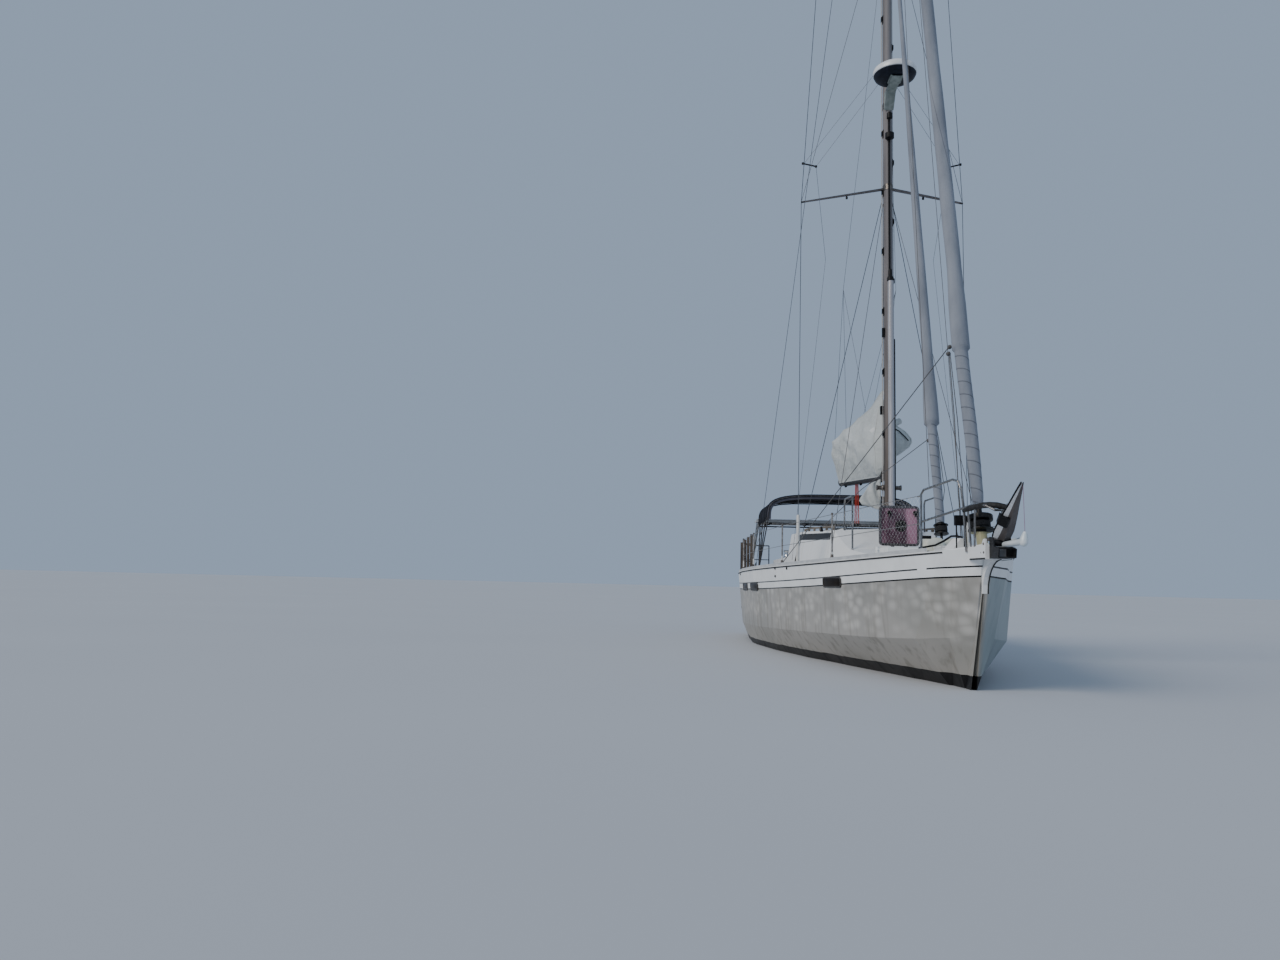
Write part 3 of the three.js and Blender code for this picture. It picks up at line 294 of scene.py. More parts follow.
class Shape:
    """The rings and faces of one piece, until it is made."""

    def __init__(self):
        self.points = []
        self.faces = []

    def skin(self, rings, closed=True, ends=True):
        first = len(self.points)
        count = len(rings[0])
        self.points += [tuple(point) for ring in rings for point in ring]
        for row in range(len(rings) - 1):
            for i in range(count if closed else count - 1):
                a = first + row * count
                j = (i + 1) % count
                self.faces.append((a + i, a + j, a + count + j, a + count + i))
        if ends:
            last = first + (len(rings) - 1) * count
            self.faces.append(tuple(range(first + count - 1, first - 1, -1)))
            self.faces.append(tuple(range(last, last + count)))
        return self

    def tube(self, path, radius, sides=8):
        path = [Vector(point) for point in path]
        radii = radius if isinstance(radius, (list, tuple)) else [radius] * len(path)
        rings = []
        side = None
        for i, (point, r) in enumerate(zip(path, radii)):
            way = (path[min(i + 1, len(path) - 1)] - path[max(i - 1, 0)]).normalized()
            if side is None:
                side = way.orthogonal().normalized()
            side = (side - way * side.dot(way)).normalized()
            up = way.cross(side)
            rings.append([point + r * (math.cos(t) * side + math.sin(t) * up) for t in around(sides)])
        return self.skin(rings)

    def turned(self, profile, base, axis=(0, 0, 1), sides=24):
        base = Vector(base)
        axis = Vector(axis).normalized()
        side = axis.orthogonal().normalized()
        up = axis.cross(side)
        return self.skin([
            [base + axis * h + r * (math.cos(t) * side + math.sin(t) * up) for t in around(sides)]
            for r, h in profile
        ])

    def slab(self, outline, depth):
        outline = [Vector(point) for point in outline]
        return self.skin([outline, [point + Vector(depth) for point in outline]])

    def block(self, low, high):
        (x0, y0, z0), (x1, y1, z1) = low, high
        return self.slab([(x0, y0, z0), (x1, y0, z0), (x1, y1, z0), (x0, y1, z0)], (0, 0, z1 - z0))

    def make(self, name, finish, body="hull", sharp=35):
        mesh = bpy.data.meshes.new(name)
        mesh.from_pydata(self.points, [], self.faces)
        mesh.validate()
        work = bmesh.new()
        work.from_mesh(mesh)
        bmesh.ops.recalc_face_normals(work, faces=work.faces)
        work.to_mesh(mesh)
        work.free()
        mesh.materials.append(finish.material)
        mesh.polygons.foreach_set("use_smooth", [True] * len(mesh.polygons))
        mesh.set_sharp_from_angle(angle=math.radians(sharp))
        made = bpy.data.objects.new(name, mesh)
        bpy.context.scene.collection.objects.link(made)
        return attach(made, body) if body else made


# Hull ports
# Six long fixed lights of smoked acrylic in flat aluminium frames, bolted on outside between
# the stripes: one pair in the bow, one at the saloon and one beside the cockpit.
smoked = mottled(
    "smoked_acrylic", (0.010, 0.007, 0.005), (0.020, 0.014, 0.010), (6, 3), (0.3, 0.8),
    (0.16, 0.1), specular_ior_level=0.04,
)
port_frame = mottled(
    "port_frame_aluminium", (0.060, 0.055, 0.050), (0.12, 0.11, 0.10), (30, 3), (0.3, 0.7),
    (0.4, 0.2), metallic=0.7,
)
SIDES = (("port", 1), ("starboard", -1))
PORT_LIGHTS = ((3.03, 0.325, 1.145), (-0.98, 0.335, 1.062), (-2.14, 0.325, 1.057))
PORT_HALF_HEIGHT = 0.073


def on_topside(x, side, z):
    """The point of the hull's side abeam of a place, and the way out of the plating there."""
    _, place, normal, _ = hull_body.ray_cast(Vector((x, side * 4, z)), Vector((0, -side, 0)))
    return place, normal if normal.y * side > 0 else -normal


def rounded(half_width, half_height, corner, steps=5):
    outline = []
    for quarter, (sx, sy) in enumerate(((1, 1), (-1, 1), (-1, -1), (1, -1))):
        for i in range(steps + 1):
            turn = math.pi / 2 * (quarter + i / steps)
            outline.append((
                sx * (half_width - corner) + corner * math.cos(turn),
                sy * (half_height - corner) + corner * math.sin(turn),
            ))
    return outline


for side_name, side in SIDES:
    frames_shape = Shape()
    lights_shape = Shape()
    for x, half, z in PORT_LIGHTS:
        centre, out = on_topside(x, side, z)
        along = (on_topside(x + 0.2, side, z)[0] - on_topside(x - 0.2, side, z)[0]).normalized()
        out = (out - along * out.dot(along)).normalized()
        up = out.cross(along)
        if up.z < 0:
            up = -up

        def ring(grow, lift):
            corners = rounded(half + grow, PORT_HALF_HEIGHT + grow, 0.055 + grow)
            return [centre + along * a + up * b + out * lift for a, b in corners]

        bezel = [ring(0, 0.002), ring(0, 0.011), ring(-0.018, 0.013), ring(-0.022, 0.006)]
        frames_shape.skin(bezel, ends=False)
        lights_shape.skin([ring(-0.021, -0.004), ring(-0.021, 0.007), ring(-0.03, 0.009)])
    frames_shape.make(f"hull_port_frames_{side_name}", port_frame)
    lights_shape.make(f"hull_port_lights_{side_name}", smoked)


# Skin fittings
# Short black plastic outlets through the white band and the plating, with a flange each, that
# drain the deck and the galley.
black_plastic = mottled(
    "black_plastic", (0.005, 0.005, 0.006), (0.014, 0.014, 0.015), (40, 4), (0.35, 0.75),
    (0.42, 0.25), specular_ior_level=0.2,
)
OUTLETS = (
    (1.22, 1.352, 0.022), (0.62, 1.36, 0.022), (0.60, 1.235, 0.020), (-3.2, 1.30, 0.022),
    (-4.4, 0.62, 0.03),
)
outlets = Shape()
for x, z, radius in OUTLETS:
    for _, side in SIDES:
        centre, out = on_topside(x, side, z)
        outlets.turned(
            [(radius, -0.004), (radius, 0.010), (radius * 0.65, 0.014), (radius * 0.6, 0.003)],
            centre, out, 16,
        )
outlets.make("skin_fittings", black_plastic)


# Toe rails and stanchions
# Aluminium bars welded on edge along the sheer, with stanchions bolted to their inner side and
# a black rubber strip under them where fenders rub.
# The stainless has a dark base colour, a painted reflection of dark surroundings, under its real rubbing and
# tea stains.
bright_rail = Finish("stainless_rail", metallic=1.0)
rubbed = bright_rail.noise(60, 3, (1, 1, 0.2)).ease(0.3, 0.75)
tea_stain = bright_rail.noise(9, 4).ease(0.62, 0.8)
rubbed_steel_painted_dark = bright_rail.mix(rubbed, (0.20, 0.19, 0.18), (0.42, 0.41, 0.40))
bright_rail.set(base_color=bright_rail.mix(tea_stain * 0.6, rubbed_steel_painted_dark, (0.20, 0.12, 0.07)))
bright_rail.set(roughness=0.16 + 0.14 * rubbed + 0.2 * tea_stain)
toe_metal = Finish("toe_rail_aluminium", metallic=0.45)
chalky = toe_metal.noise(7, 4, (1, 1, 3)).ease(0.3, 0.75)
# Above the toe rail, on the stanchions, the colour is a painted reflection of dark surroundings; the toe rail
# below stays pale.
rail_top = toe_metal.z > 1.56
pale = toe_metal.mix(chalky, (0.60, 0.605, 0.60), (0.74, 0.74, 0.73))
stanchion_dark_reflection = toe_metal.mix(chalky, (0.16, 0.155, 0.15), (0.36, 0.35, 0.34))
toe_metal.set(base_color=toe_metal.mix(rail_top, pale, stanchion_dark_reflection))
toe_metal.set(roughness=0.42 + 0.15 * chalky)
dress(toe_metal, "guard_rail_port", "guard_rail_starboard")
SHEER = (
    (-5.3, 1.818, 1.337), (-5.0, 1.860, 1.340), (-4.0, 1.940, 1.350), (-2.5, 1.970, 1.360),
    (-1.0, 1.890, 1.375), (0.5, 1.680, 1.395), (2.0, 1.390, 1.415), (3.2, 1.120, 1.437),
    (4.2, 0.860, 1.458), (5.0, 0.610, 1.480), (5.6, 0.370, 1.500), (5.9, 0.130, 1.515),
)


def sheer_at(x):
    for (xa, ya, za), (xb, yb, zb) in zip(SHEER, SHEER[1:]):
        if x <= xb:
            t = (x - xa) / (xb - xa)
            return ya + t * (yb - ya), za + t * (zb - za)
    return SHEER[-1][1:]


DECK_CAMBER = 0.05


def deck_z(x, y):
    half, z = sheer_at(x)
    return z + DECK_CAMBER * (1 - abs(y) / half)


rubber = mottled(
    "rubber_strip", (0.008, 0.008, 0.008), (0.022, 0.021, 0.020), (50, 5), (0.4, 0.7), roughness=0.75,
)
for side_name, side in SIDES:
    strip = Shape()
    rings = []
    for x, _, z in SHEER[:-1]:
        place, _ = on_topside(x, side, z - 0.022)
        rings.append([
            place + Vector((0, side * out, rise))
            for out, rise in ((-0.004, 0.011), (0.010, 0.008), (0.010, -0.008), (-0.004, -0.011))
        ])
    strip.skin(rings).make(f"rubbing_strip_{side_name}", rubber)


# Lifelines
# Two plastic-covered wires a side, run through the stanchions between the pulpit and the pushpit
# and set up hard, and a knotted net laced under the fore part of the starboard pair.
STANCHION_RISE = 0.65
LINE_RISE = STANCHION_RISE - 0.012
LOWER_LINE = 0.32
STANCHIONS = {"port": (0.75, -1.4, -3.35), "starboard": (2.9, 0.75, -1.4, -3.35)}
line_cover = mottled(
    "lifeline_cover", (0.10, 0.10, 0.10), (0.22, 0.22, 0.22), (25, 4), (0.3, 0.7), roughness=0.4,
)
dark_steel = mottled(
    "shadowed_stainless", (0.10, 0.085, 0.075), (0.24, 0.22, 0.20), (40, 4, (1, 1, 0.3)), (0.35, 0.7),
    (0.3, 0.2), metallic=0.9,
)
for side_name, side in SIDES:
    lines = Shape()
    fittings = Shape()
    for drop in (0.0, LOWER_LINE):
        path = [(-4.70, side * 1.770, deck_z(-5.0, 1.8) + STANCHION_RISE - drop)]
        for x in reversed(STANCHIONS[side_name]):
            y = side * (sheer_at(x)[0] - 0.07)
            path.append((x, y, deck_z(x, y) + LINE_RISE - drop))
        path.append((5.135, side * 0.470, 2.14 - drop if side < 0 else 1.84 - 0.3 * drop))
        lines.tube(path, 0.004, 6)
        for x, y, z in path[1:-1]:
            fittings.tube([(x - 0.03, y, z), (x + 0.03, y, z)], 0.009)
        for end, step in ((path[0], 0.14), (path[-1], -0.14)):
            fittings.tube([end, (end[0] + step, end[1], end[2])], 0.009)
    for x in STANCHIONS[side_name]:
        y = side * (sheer_at(x)[0] - 0.07)
        foot = deck_z(x, y)
        fittings.tube([(x, y, foot), (x, y, foot + 0.09)], 0.021, 12)
        cap = [(0.0135, 0), (0.017, 0.004), (0.017, 0.016), (0.009, 0.024)]
        fittings.turned(cap, (x, y, foot + LINE_RISE))
    lines.make(f"lifelines_{side_name}", line_cover)
    fittings.make(f"stanchion_fittings_{side_name}", dark_steel)
netting = Finish("lifeline_net", roughness=0.8)
NET_PITCH = 0.055
NET_CORD = 0.011
cords_across = [
    (((netting.x + sign * netting.z) / (NET_PITCH * 1.4)).math("PINGPONG", 0.5) < NET_CORD)
    for sign in (1, -1)
]
netting.set(base_color=netting.mix(netting.noise(80), (0.70, 0.71, 0.70), (0.80, 0.81, 0.80)))
netting.set(alpha=cords_across[0].math("MAXIMUM", cords_across[1]))
NET_FORE = Vector((5.135, 0.482))
NET_AFT = Vector((2.9, 1.127))
NET_HEAD_AFT = deck_z(2.9, 1.05) + 0.636
NET_HEAD_FORE = 2.138
NET_FOOT = 0.05
net = Shape()
steps = 16
rings = []
for i in range(steps + 1):
    t = i / steps
    x, y = NET_AFT + t * (NET_FORE - NET_AFT)
    foot = sheer_at(x)[1] + NET_FOOT
    head = NET_HEAD_AFT + t * (NET_HEAD_FORE - NET_HEAD_AFT)
    sag = 0.02 * math.sin(math.pi * t)
    rings.append([(x, sag * math.sin(math.pi * k / 6) - y, foot + (head - foot) * k / 6) for k in range(7)])
net.skin(rings, closed=False, ends=False)
net_piece = net.make("lifeline_net_starboard", netting)


# Coachroof
# A welded aluminium house, painted satin white, with pale grey anti-slip panels on its roof and
# a wooden handrail along each roof edge.
house_white = Finish("house_white", roughness=0.35)
rain = house_white.noise(2.2, 4, (2.5, 2.5, 0.3)).ease(0.5, 0.8)
fresh = house_white.mix(house_white.noise(1.1, 4), (0.79, 0.80, 0.80), (0.85, 0.86, 0.85))
house = house_white.mix(rain * 0.3, fresh, (0.55, 0.53, 0.49))
normal = house_white.node("NewGeometry", output="Normal")
level = house_white.node("SeparateXYZ", sockets={0: normal}, output=2) > 0.93
panels = level * (house_white.y.math("ABSOLUTE") < 0.78) * house_white.x.between(-1.9, 0.95)
grit = house_white.cells(240, feature="F1").ease(0.1, 0.6)
anti_slip = house_white.mix(grit, (0.50, 0.52, 0.54), (0.60, 0.62, 0.63))
house_white.set(base_color=house_white.mix(panels, house, anti_slip))
house_white.set(roughness=0.30 + 0.12 * rain + 0.35 * panels)
house_white.bump(panels * grit, 0.002)
dress(
    house_white, "coachroof", "cockpit_coaming_port", "cockpit_coaming_starboard", "bow_platform",
    "helm_pedestal",
    "cockpit_locker_lid_port", "cockpit_locker_lid_starboard", "anchor_locker_lid",
)
dress(smoked, "coachroof_window_port", "coachroof_window_starboard", "companionway_hatch")
dress(bright_rail, "mast_bar_port", "mast_bar_starboard", "pulpit", "pushpit_port", "pushpit_starboard")
dress(bright_rail, "stern_arch", "swim_ladder", "gooseneck", "helm_wheel")
oiled_wood = mottled(
    "oiled_teak", (0.095, 0.075, 0.055), (0.20, 0.165, 0.125), (12, 5, (0.12, 1, 1)), (0.25, 0.75),
    (0.5, 0.2), relief=0.001,
)
dress(oiled_wood, "companionway_steps")
house_body = node["coachroof"]


def on_roof(x, y):
    _, place, _, _ = house_body.ray_cast(Vector((x, y, 4)), Vector((0, 0, -1)))
    return place.z


HANDRAIL = {"aft": -1.6, "fore": 0.9, "y": 0.88, "rise": 0.055, "overhang": 0.08, "posts": 6}


def handrail_y(x):
    return HANDRAIL["y"] - 0.055 * max(0, x + 1)


handrails = Shape()
HANDRAIL_RUN = HANDRAIL["fore"] - HANDRAIL["aft"]
for _, side in SIDES:
    for i in range(HANDRAIL["posts"]):
        x = HANDRAIL["aft"] + HANDRAIL_RUN * i / (HANDRAIL["posts"] - 1)
        y = side * handrail_y(x)
        z = on_roof(x, y)
        handrails.block(
            (x - 0.045, y - 0.014, z - 0.004), (x + 0.045, y + 0.014, z + HANDRAIL["rise"] - 0.01),
        )
    path = []
    for i in range(13):
        x = HANDRAIL["aft"] - HANDRAIL["overhang"] + (HANDRAIL_RUN + 2 * HANDRAIL["overhang"]) * i / 12
        y = side * handrail_y(x)
        path.append((x, y, on_roof(x, y) + HANDRAIL["rise"]))
    handrails.tube(path, 0.017, 10)
handrails.make("roof_handrails", oiled_wood)


# Foredeck hatch lid
# A square pane of tinted acrylic, gone pink with age, in a rounded aluminium frame that turns on
# pins at its aft edge. A round vent and two dog handles go through the pane.
aged_acrylic = Finish("aged_acrylic", specular_ior_level=0.3)
gone_pale = (aged_acrylic.y + 0.12 * aged_acrylic.noise(5, 3)).ease(0.13, 0.22)
crazed = gone_pale + aged_acrylic.noise(6, 4, (1, 1.6, 0.5)).ease(0.45, 0.70, 0.0, 0.42)
aged_acrylic.set(base_color=aged_acrylic.mix(crazed, (0.075, 0.036, 0.056), (0.40, 0.20, 0.275)))
aged_acrylic.set(roughness=0.14 + 0.12 * crazed)
LID = {"x": 2.0, "low": 1.699, "half": 0.295}
lid_mid = LID["low"] + LID["half"]


def lid_ring(grow, forward, corner=0.06):
    return [
        (LID["x"] + forward, a, lid_mid + b)
        for a, b in rounded(LID["half"] + grow, LID["half"] + grow, corner + grow, 6)
    ]


lid_frame = Shape()
lid_frame.skin([
    lid_ring(-0.004, -0.013), lid_ring(0, -0.008), lid_ring(0, 0.010), lid_ring(-0.008, 0.015),
    lid_ring(-0.034, 0.015), lid_ring(-0.036, 0.006),
], ends=False)
lid_frame.skin([
    lid_ring(-0.004, -0.013), lid_ring(-0.036, -0.013), lid_ring(-0.036, 0.006),
], ends=False)
frame_metal = mottled(
    "hatch_frame_aluminium", (0.07, 0.065, 0.07), (0.15, 0.14, 0.145), (45, 4), (0.3, 0.75),
    (0.3, 0.22), metallic=0.8,
)
pin_z = LID["low"] - 0.0204
for y in (-0.10, 0.10):
    lid_frame.tube([(LID["x"], y - 0.03, pin_z), (LID["x"], y + 0.03, pin_z)], 0.012, 12)
    lid_frame.block(
        (LID["x"] - 0.008, y - 0.025, LID["low"] - 0.02),
        (LID["x"] + 0.008, y + 0.025, LID["low"] + 0.01),
    )
lid_frame_piece = lid_frame.make("hatch_lid_frame", frame_metal, "forehatch")
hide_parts("forehatch_lid")
pane = Shape()
pane.skin([lid_ring(-0.035, -0.009, 0.065), lid_ring(-0.035, 0.004, 0.065), lid_ring(-0.042, 0.006, 0.065)])
pane.make("hatch_lid_pane", aged_acrylic, "forehatch")
lid_gear = Shape()
HATCH_VENT = (
    (0.085, 0.004), (0.085, 0.012), (0.072, 0.019), (0.064, 0.012), (0.026, 0.012), (0.020, 0.023),
    (0.0, 0.024),
)
DOG_KNOB = ((0.034, 0.004), (0.034, 0.016), (0.022, 0.028), (0.0, 0.029))
lid_gear.turned(HATCH_VENT, (LID["x"], 0.025, lid_mid), (1, 0, 0), 28)
for y in (-0.14, 0.235):
    lid_gear.turned(DOG_KNOB, (LID["x"], y, lid_mid + 0.19), (1, 0, 0))
    lid_gear.block(
        (LID["x"] + 0.016, y - 0.012, lid_mid + 0.13), (LID["x"] + 0.028, y + 0.012, lid_mid + 0.19),
    )
lid_gear.make("hatch_lid_vent_and_dogs", black_plastic, "forehatch")


# Bow platform fittings
# The platform and its knee are painted with the hull. A thin black tube runs down the knee's hollow edge
# and one along each lower side of the platform, and bolts through the platform's wings hold the anchor
# roller.
platform_dark_lines = Shape()
quarter = [math.pi / 2 * i / 12 for i in range(13)]
knee_edge = [(6.31 - 0.42 * math.sin(a), 1.395 - 0.35 * (1 - math.cos(a))) for a in quarter]
platform_dark_lines.tube([(x + 0.004, 0.028, z - 0.003) for x, z in knee_edge], 0.0075)
for _, side in SIDES:
    platform_dark_lines.tube([(5.93, side * 0.165, 1.40), (6.31, side * 0.131, 1.40)], 0.009)
platform_dark_lines.make("platform_edge_dark_lines", rubber)
platform_bolts = Shape()
BOLT_HEAD = ((0.013, 0), (0.013, 0.004), (0.008, 0.009), (0, 0.010))
for _, side in SIDES:
    for x, z in ((6.20, 1.462), (6.28, 1.462), (6.27, 1.55)):
        platform_bolts.turned(BOLT_HEAD, (x, side * 0.131, z), (0, side, 0), 12)
platform_bolts.make("platform_bolts", dark_steel)


# Anchor roller
# A galvanised steel channel with a black roller, gone dark where the chain drags over it.
roller_steel = mottled(
    "worn_galvanised_steel", (0.006, 0.006, 0.007), (0.025, 0.025, 0.027), (18, 5, (0.3, 1, 1)), (0.35, 0.7),
    (0.42, 0.25), relief=0.002, specular_ior_level=0.25,
)
dress(roller_steel, "bow_roller")


# Anchor
# A folded steel plough, galvanised, welded to a flat shank that lies on the roller. Its starboard face
# is painted near white as painted light, and its port face dark grey as painted shade. A black strap
# is lashed round it.
ANCHOR_FOOT = Vector((6.43, 0, 1.62))
ANCHOR_WAY = Vector((0.60, 0, 0.48))
galvanised = Finish("galvanised_steel", metallic=0.35)
spangle = galvanised.cells(55, feature="F1").ease(0.0, 0.8)
mud = galvanised.noise(6, 4).ease(0.45, 0.75)
RISE_PER_X, RISE_PER_Z = 1.0169, 0.8136
up_plough = (galvanised.x - ANCHOR_FOOT.x) * RISE_PER_X + (galvanised.z - ANCHOR_FOOT.z) * RISE_PER_Z
# Painted light and shade: the starboard face is coloured near white, the port face dark grey.
lit_starboard_face = (galvanised.y + 0.052 * (1 - up_plough) < 0.0) * (galvanised.x > 6.40)
zinc_lit_and_shaded = galvanised.mix(lit_starboard_face, (0.110, 0.094, 0.088), (0.80, 0.81, 0.83))
zinc_lit_and_shaded = galvanised.mix(spangle * 0.2, zinc_lit_and_shaded, (0.20, 0.19, 0.19))
galvanised.set(base_color=galvanised.mix(mud * 0.35 * (1 - lit_starboard_face), zinc_lit_and_shaded, (0.07, 0.055, 0.05)))
galvanised.set(roughness=0.45 + 0.2 * mud)
galvanised.bump(spangle, 0.001)
plough = Shape()
rings = []
PLOUGH = (
    (0.0, 0.090), (0.12, 0.096), (0.25, 0.086), (0.42, 0.070), (0.62, 0.048), (0.78, 0.033),
    (0.94, 0.016), (1.0, 0.009),
)
for t, half in PLOUGH:
    spine = ANCHOR_FOOT + ANCHOR_WAY * t
    ridge = spine + Vector((half * 0.45, 0, -half * 0.55))
    inner = spine + Vector((half * 0.33, 0, -half * 0.41))
    lip = Vector((0.007, 0, -0.009))
    left = spine + Vector((0, -half, 0))
    right_edge = spine + Vector((0, half, 0))
    rings.append([ridge, right_edge + lip, right_edge, inner, left, left + lip])
plough.skin(rings)
shank = [
    (5.95, 1.592), (6.48, 1.592), (6.51, 1.62), (6.57, 1.70), (6.53, 1.725), (6.47, 1.655), (6.42, 1.629),
    (5.95, 1.629),
]
plough.slab([(x, -0.011, z) for x, z in shank], (0, 0.022, 0))
plough.turned([(0.018, 0), (0.018, 0.032)], (5.98, -0.016, 1.612), (0, 1, 0), 12)
anchor_piece = plough.make("anchor_plough", galvanised)
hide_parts("anchor")
# Painted shade: dark tubes along the plough's blade edges, thick to starboard, stand for the shade on those
# edges. The strap is a real black strap.
edge_shade_and_strap = Shape()
for side in (-1, 1):
    path = [ANCHOR_FOOT + ANCHOR_WAY * t + Vector((0, side * half, 0)) for t, half in PLOUGH]
    edge_shade_and_strap.tube(path, 0.011 if side < 0 else 0.005)
strap = []
for t in (0.26, 0.42):
    spine = ANCHOR_FOOT + ANCHOR_WAY * t
    strap.append([
        spine + Vector((a, y, -1.22 * a)) for a, y in
        ((-0.020, -0.096), (0.010, -0.104), (0.046, -0.030),
         (0.040, -0.012), (0.024, -0.016), (0.014, -0.060))
    ])
edge_shade_and_strap.skin(strap)
edge_shade_and_strap.make("anchor_edge_shade_and_strap", black_plastic)


# Bow tube
# A short pale tube beside the roller and another ahead of it, whose moulded pear-shaped end
# carries the tack line of a light sail.
anodised = mottled(
    "grey_anodised", (0.60, 0.615, 0.625), (0.72, 0.73, 0.735), (26, 4, (1, 1, 0.04)), (0.3, 0.75),
    (0.33, 0.15), metallic=0.55,
)
tube_white = mottled(
    "pale_tube", (0.60, 0.68, 0.72), (0.76, 0.81, 0.83), (12, 4, (0.3, 1, 1)), (0.35, 0.75),
    metallic=0.1, roughness=0.4,
)
TUBE_Y = 0.168
bow_tube = Shape()
bow_tube.tube([(5.90, TUBE_Y, 1.580), (6.60, TUBE_Y, 1.585)], 0.028, 20)
bow_tube.block((5.96, 0.118, 1.5303), (6.06, TUBE_Y, 1.575))
bow_tube.tube([(6.0, TUBE_Y, 1.5797), (6.02, TUBE_Y, 1.5799)], 0.033, 20)
bow_tube_piece = bow_tube.make("bow_tube_section", tube_white)
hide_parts("bow_tube")
Shape().tube([(6.46, 0.02, 1.536), (6.97, 0.02, 1.545)], 0.031, 20).make("tack_tube", tube_white)
Shape().block((6.48, -0.088, 1.489), (6.56, 0.088, 1.506)).make("tack_tube_seat", roller_steel)
PEAR = (
    (0.0, 0.072), (0.014, 0.068), (0.026, 0.04), (0.038, 0.0), (0.040, -0.035), (0.030, -0.060),
    (0.012, -0.072), (0, -0.074),
)
Shape().turned(PEAR, (6.985, 0.022, 1.570), (0.0, 0.12, 1), 20).make("bow_tube_end", tube_white)
tack_line = mottled("tack_line", (0.22, 0.12, 0.20), (0.36, 0.24, 0.34), (90,), roughness=0.7)
Shape().tube([(6.985, 0.030, 1.640), (7.012, 0.012, 2.070)], 0.003, 6).make("tack_line_taut", tack_line)


# Windlass
# An electric windlass under a moulded cream cover, with a chain wheel to port and a warping drum
# to starboard, bolted to the foredeck. A domed vent box stands beside it on a rubber gasket.
cream = mottled("cream_gelcoat", (0.60, 0.61, 0.52), (0.72, 0.73, 0.65), (9, 4), (0.35, 0.75), (0.4, 0.2))
windlass = Shape()
DRUM_X = 4.61
foot = deck_z(DRUM_X, 0)
DRUM_Y = 0.095
COVER = ((0.112, 0.0), (0.112, 0.05), (0.105, 0.11), (0.085, 0.15), (0.045, 0.17))
windlass.skin([
    [(DRUM_X + a * half / DRUM_Y, b * half / DRUM_Y, foot - 0.005 + rise)
     for a, b in rounded(0.09, DRUM_Y, 0.045)]
    for half, rise in COVER
])
windlass_piece = windlass.make("windlass_cover", cream)
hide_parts("windlass")
vent_box = Shape()
VENT = (4.74, -0.235)
vent_foot = deck_z(*VENT)
vent_box.skin([
    [(VENT[0] + a, VENT[1] + b, vent_foot - 0.004 + rise + (0.025 * (0.13 - a) if rise > 0.02 else 0))
     for a, b in rounded(0.105 * shrink, 0.13 * shrink, 0.06 * shrink, 6)]
    for shrink, rise in ((1.0, 0.0), (1.0, 0.06), (0.97, 0.11), (0.88, 0.15), (0.70, 0.172), (0.40, 0.180))
])
vent_box.make("foredeck_vent_box", cream)
gasket = [(VENT[0] + a, VENT[1] + b, vent_foot + 0.010) for a, b in rounded(0.112, 0.137, 0.065, 6)]
Shape().tube(gasket, 0.009, 8).make("foredeck_vent_gasket", rubber)
drums = Shape()
CHAIN_WHEEL = (
    (0.05, 0), (0.06, 0.01), (0.06, 0.03), (0.038, 0.045), (0.038, 0.065), (0.06, 0.085), (0.06, 0.10),
    (0, 0.105),
)
WARPING_DRUM = (
    (0.04, 0), (0.052, 0.008), (0.036, 0.03), (0.034, 0.06), (0.050, 0.085), (0.050, 0.092), (0, 0.094),
)
drums.turned(CHAIN_WHEEL, (DRUM_X, DRUM_Y, foot + 0.075), (0, 1, 0), 20)
drums.turned(WARPING_DRUM, (DRUM_X, -DRUM_Y, foot + 0.075), (0, -1, 0), 20)
drums.make("windlass_drums", bright_rail)


# Foredeck fittings
# A low white box with a black hose over it, a black junction box on the pulpit's legs, and short
# bars from the bow platform up to the rail.
hose_box = Shape()
hose_box.skin([
    [(5.33, -0.30, 1.50), (5.33, -0.04, 1.52), (5.33, -0.05, 1.60), (5.33, -0.13, 1.652),
     (5.33, -0.17, 1.652)],
    [(5.52, -0.24, 1.50), (5.52, -0.03, 1.52), (5.52, -0.04, 1.59), (5.52, -0.10, 1.64), (5.52, -0.14, 1.64)],
])
hose_box.make("foredeck_hose_box", house_white)
hose = Shape()
hose_path = [
    (5.02, -0.47, 1.545), (5.10, -0.40, 1.56), (5.2, -0.33, 1.575), (5.29, -0.26, 1.62),
    (5.33, -0.19, 1.672), (5.36, -0.14, 1.675), (5.40, -0.09, 1.66),
]
hose.tube(hose_path, 0.012, 8)
hose.block((5.595, -0.235, 1.775), (5.645, -0.11, 1.885))
for y in (-0.215, -0.13):
    hose.tube([(5.62, y, 1.49), (5.62, y, 1.78)], 0.008)
hose.block((4.98, -0.43, 1.655), (5.03, -0.33, 1.69))
hose.make("foredeck_hose_and_box", black_plastic)
rail_bars = Shape()
for x0, x1, z1 in ((5.90, 5.96, 1.91), (6.02, 6.12, 1.93)):
    for _, side in SIDES:
        rail_bars.tube([
            (x0 + 0.02, side * 0.15, 1.53), (x1, side * (0.205 - 0.15 * (x1 - 5.863)), z1),
        ], 0.011)
rail_bars.make("platform_rail_bars", bright_rail)


# Rail padding
# Black foam sleeves laced round the rail over the anchor, where a person leans out.
foam = mottled(
    "black_foam_sleeve", (0.005, 0.005, 0.005), (0.020, 0.020, 0.021), (35, 4, (1, 1, 0.5)), (0.35, 0.7),
    relief=0.003, roughness=0.7,
)
SLEEVE = (
    (5.87, -0.210, 1.915), (6.0, -0.185, 1.932), (6.15, -0.155, 1.940), (6.26, -0.125, 1.944),
    (6.35, -0.085, 1.942), (6.405, -0.030, 1.934), (6.425, 0.030, 1.918), (6.425, 0.075, 1.890),
    (6.405, 0.100, 1.855),
)
sleeve = Shape()
sleeve.tube(SLEEVE, [0.018] + [0.031] * (len(SLEEVE) - 2) + [0.018], 14)
sleeve.make("pulpit_rail_sleeve", foam)


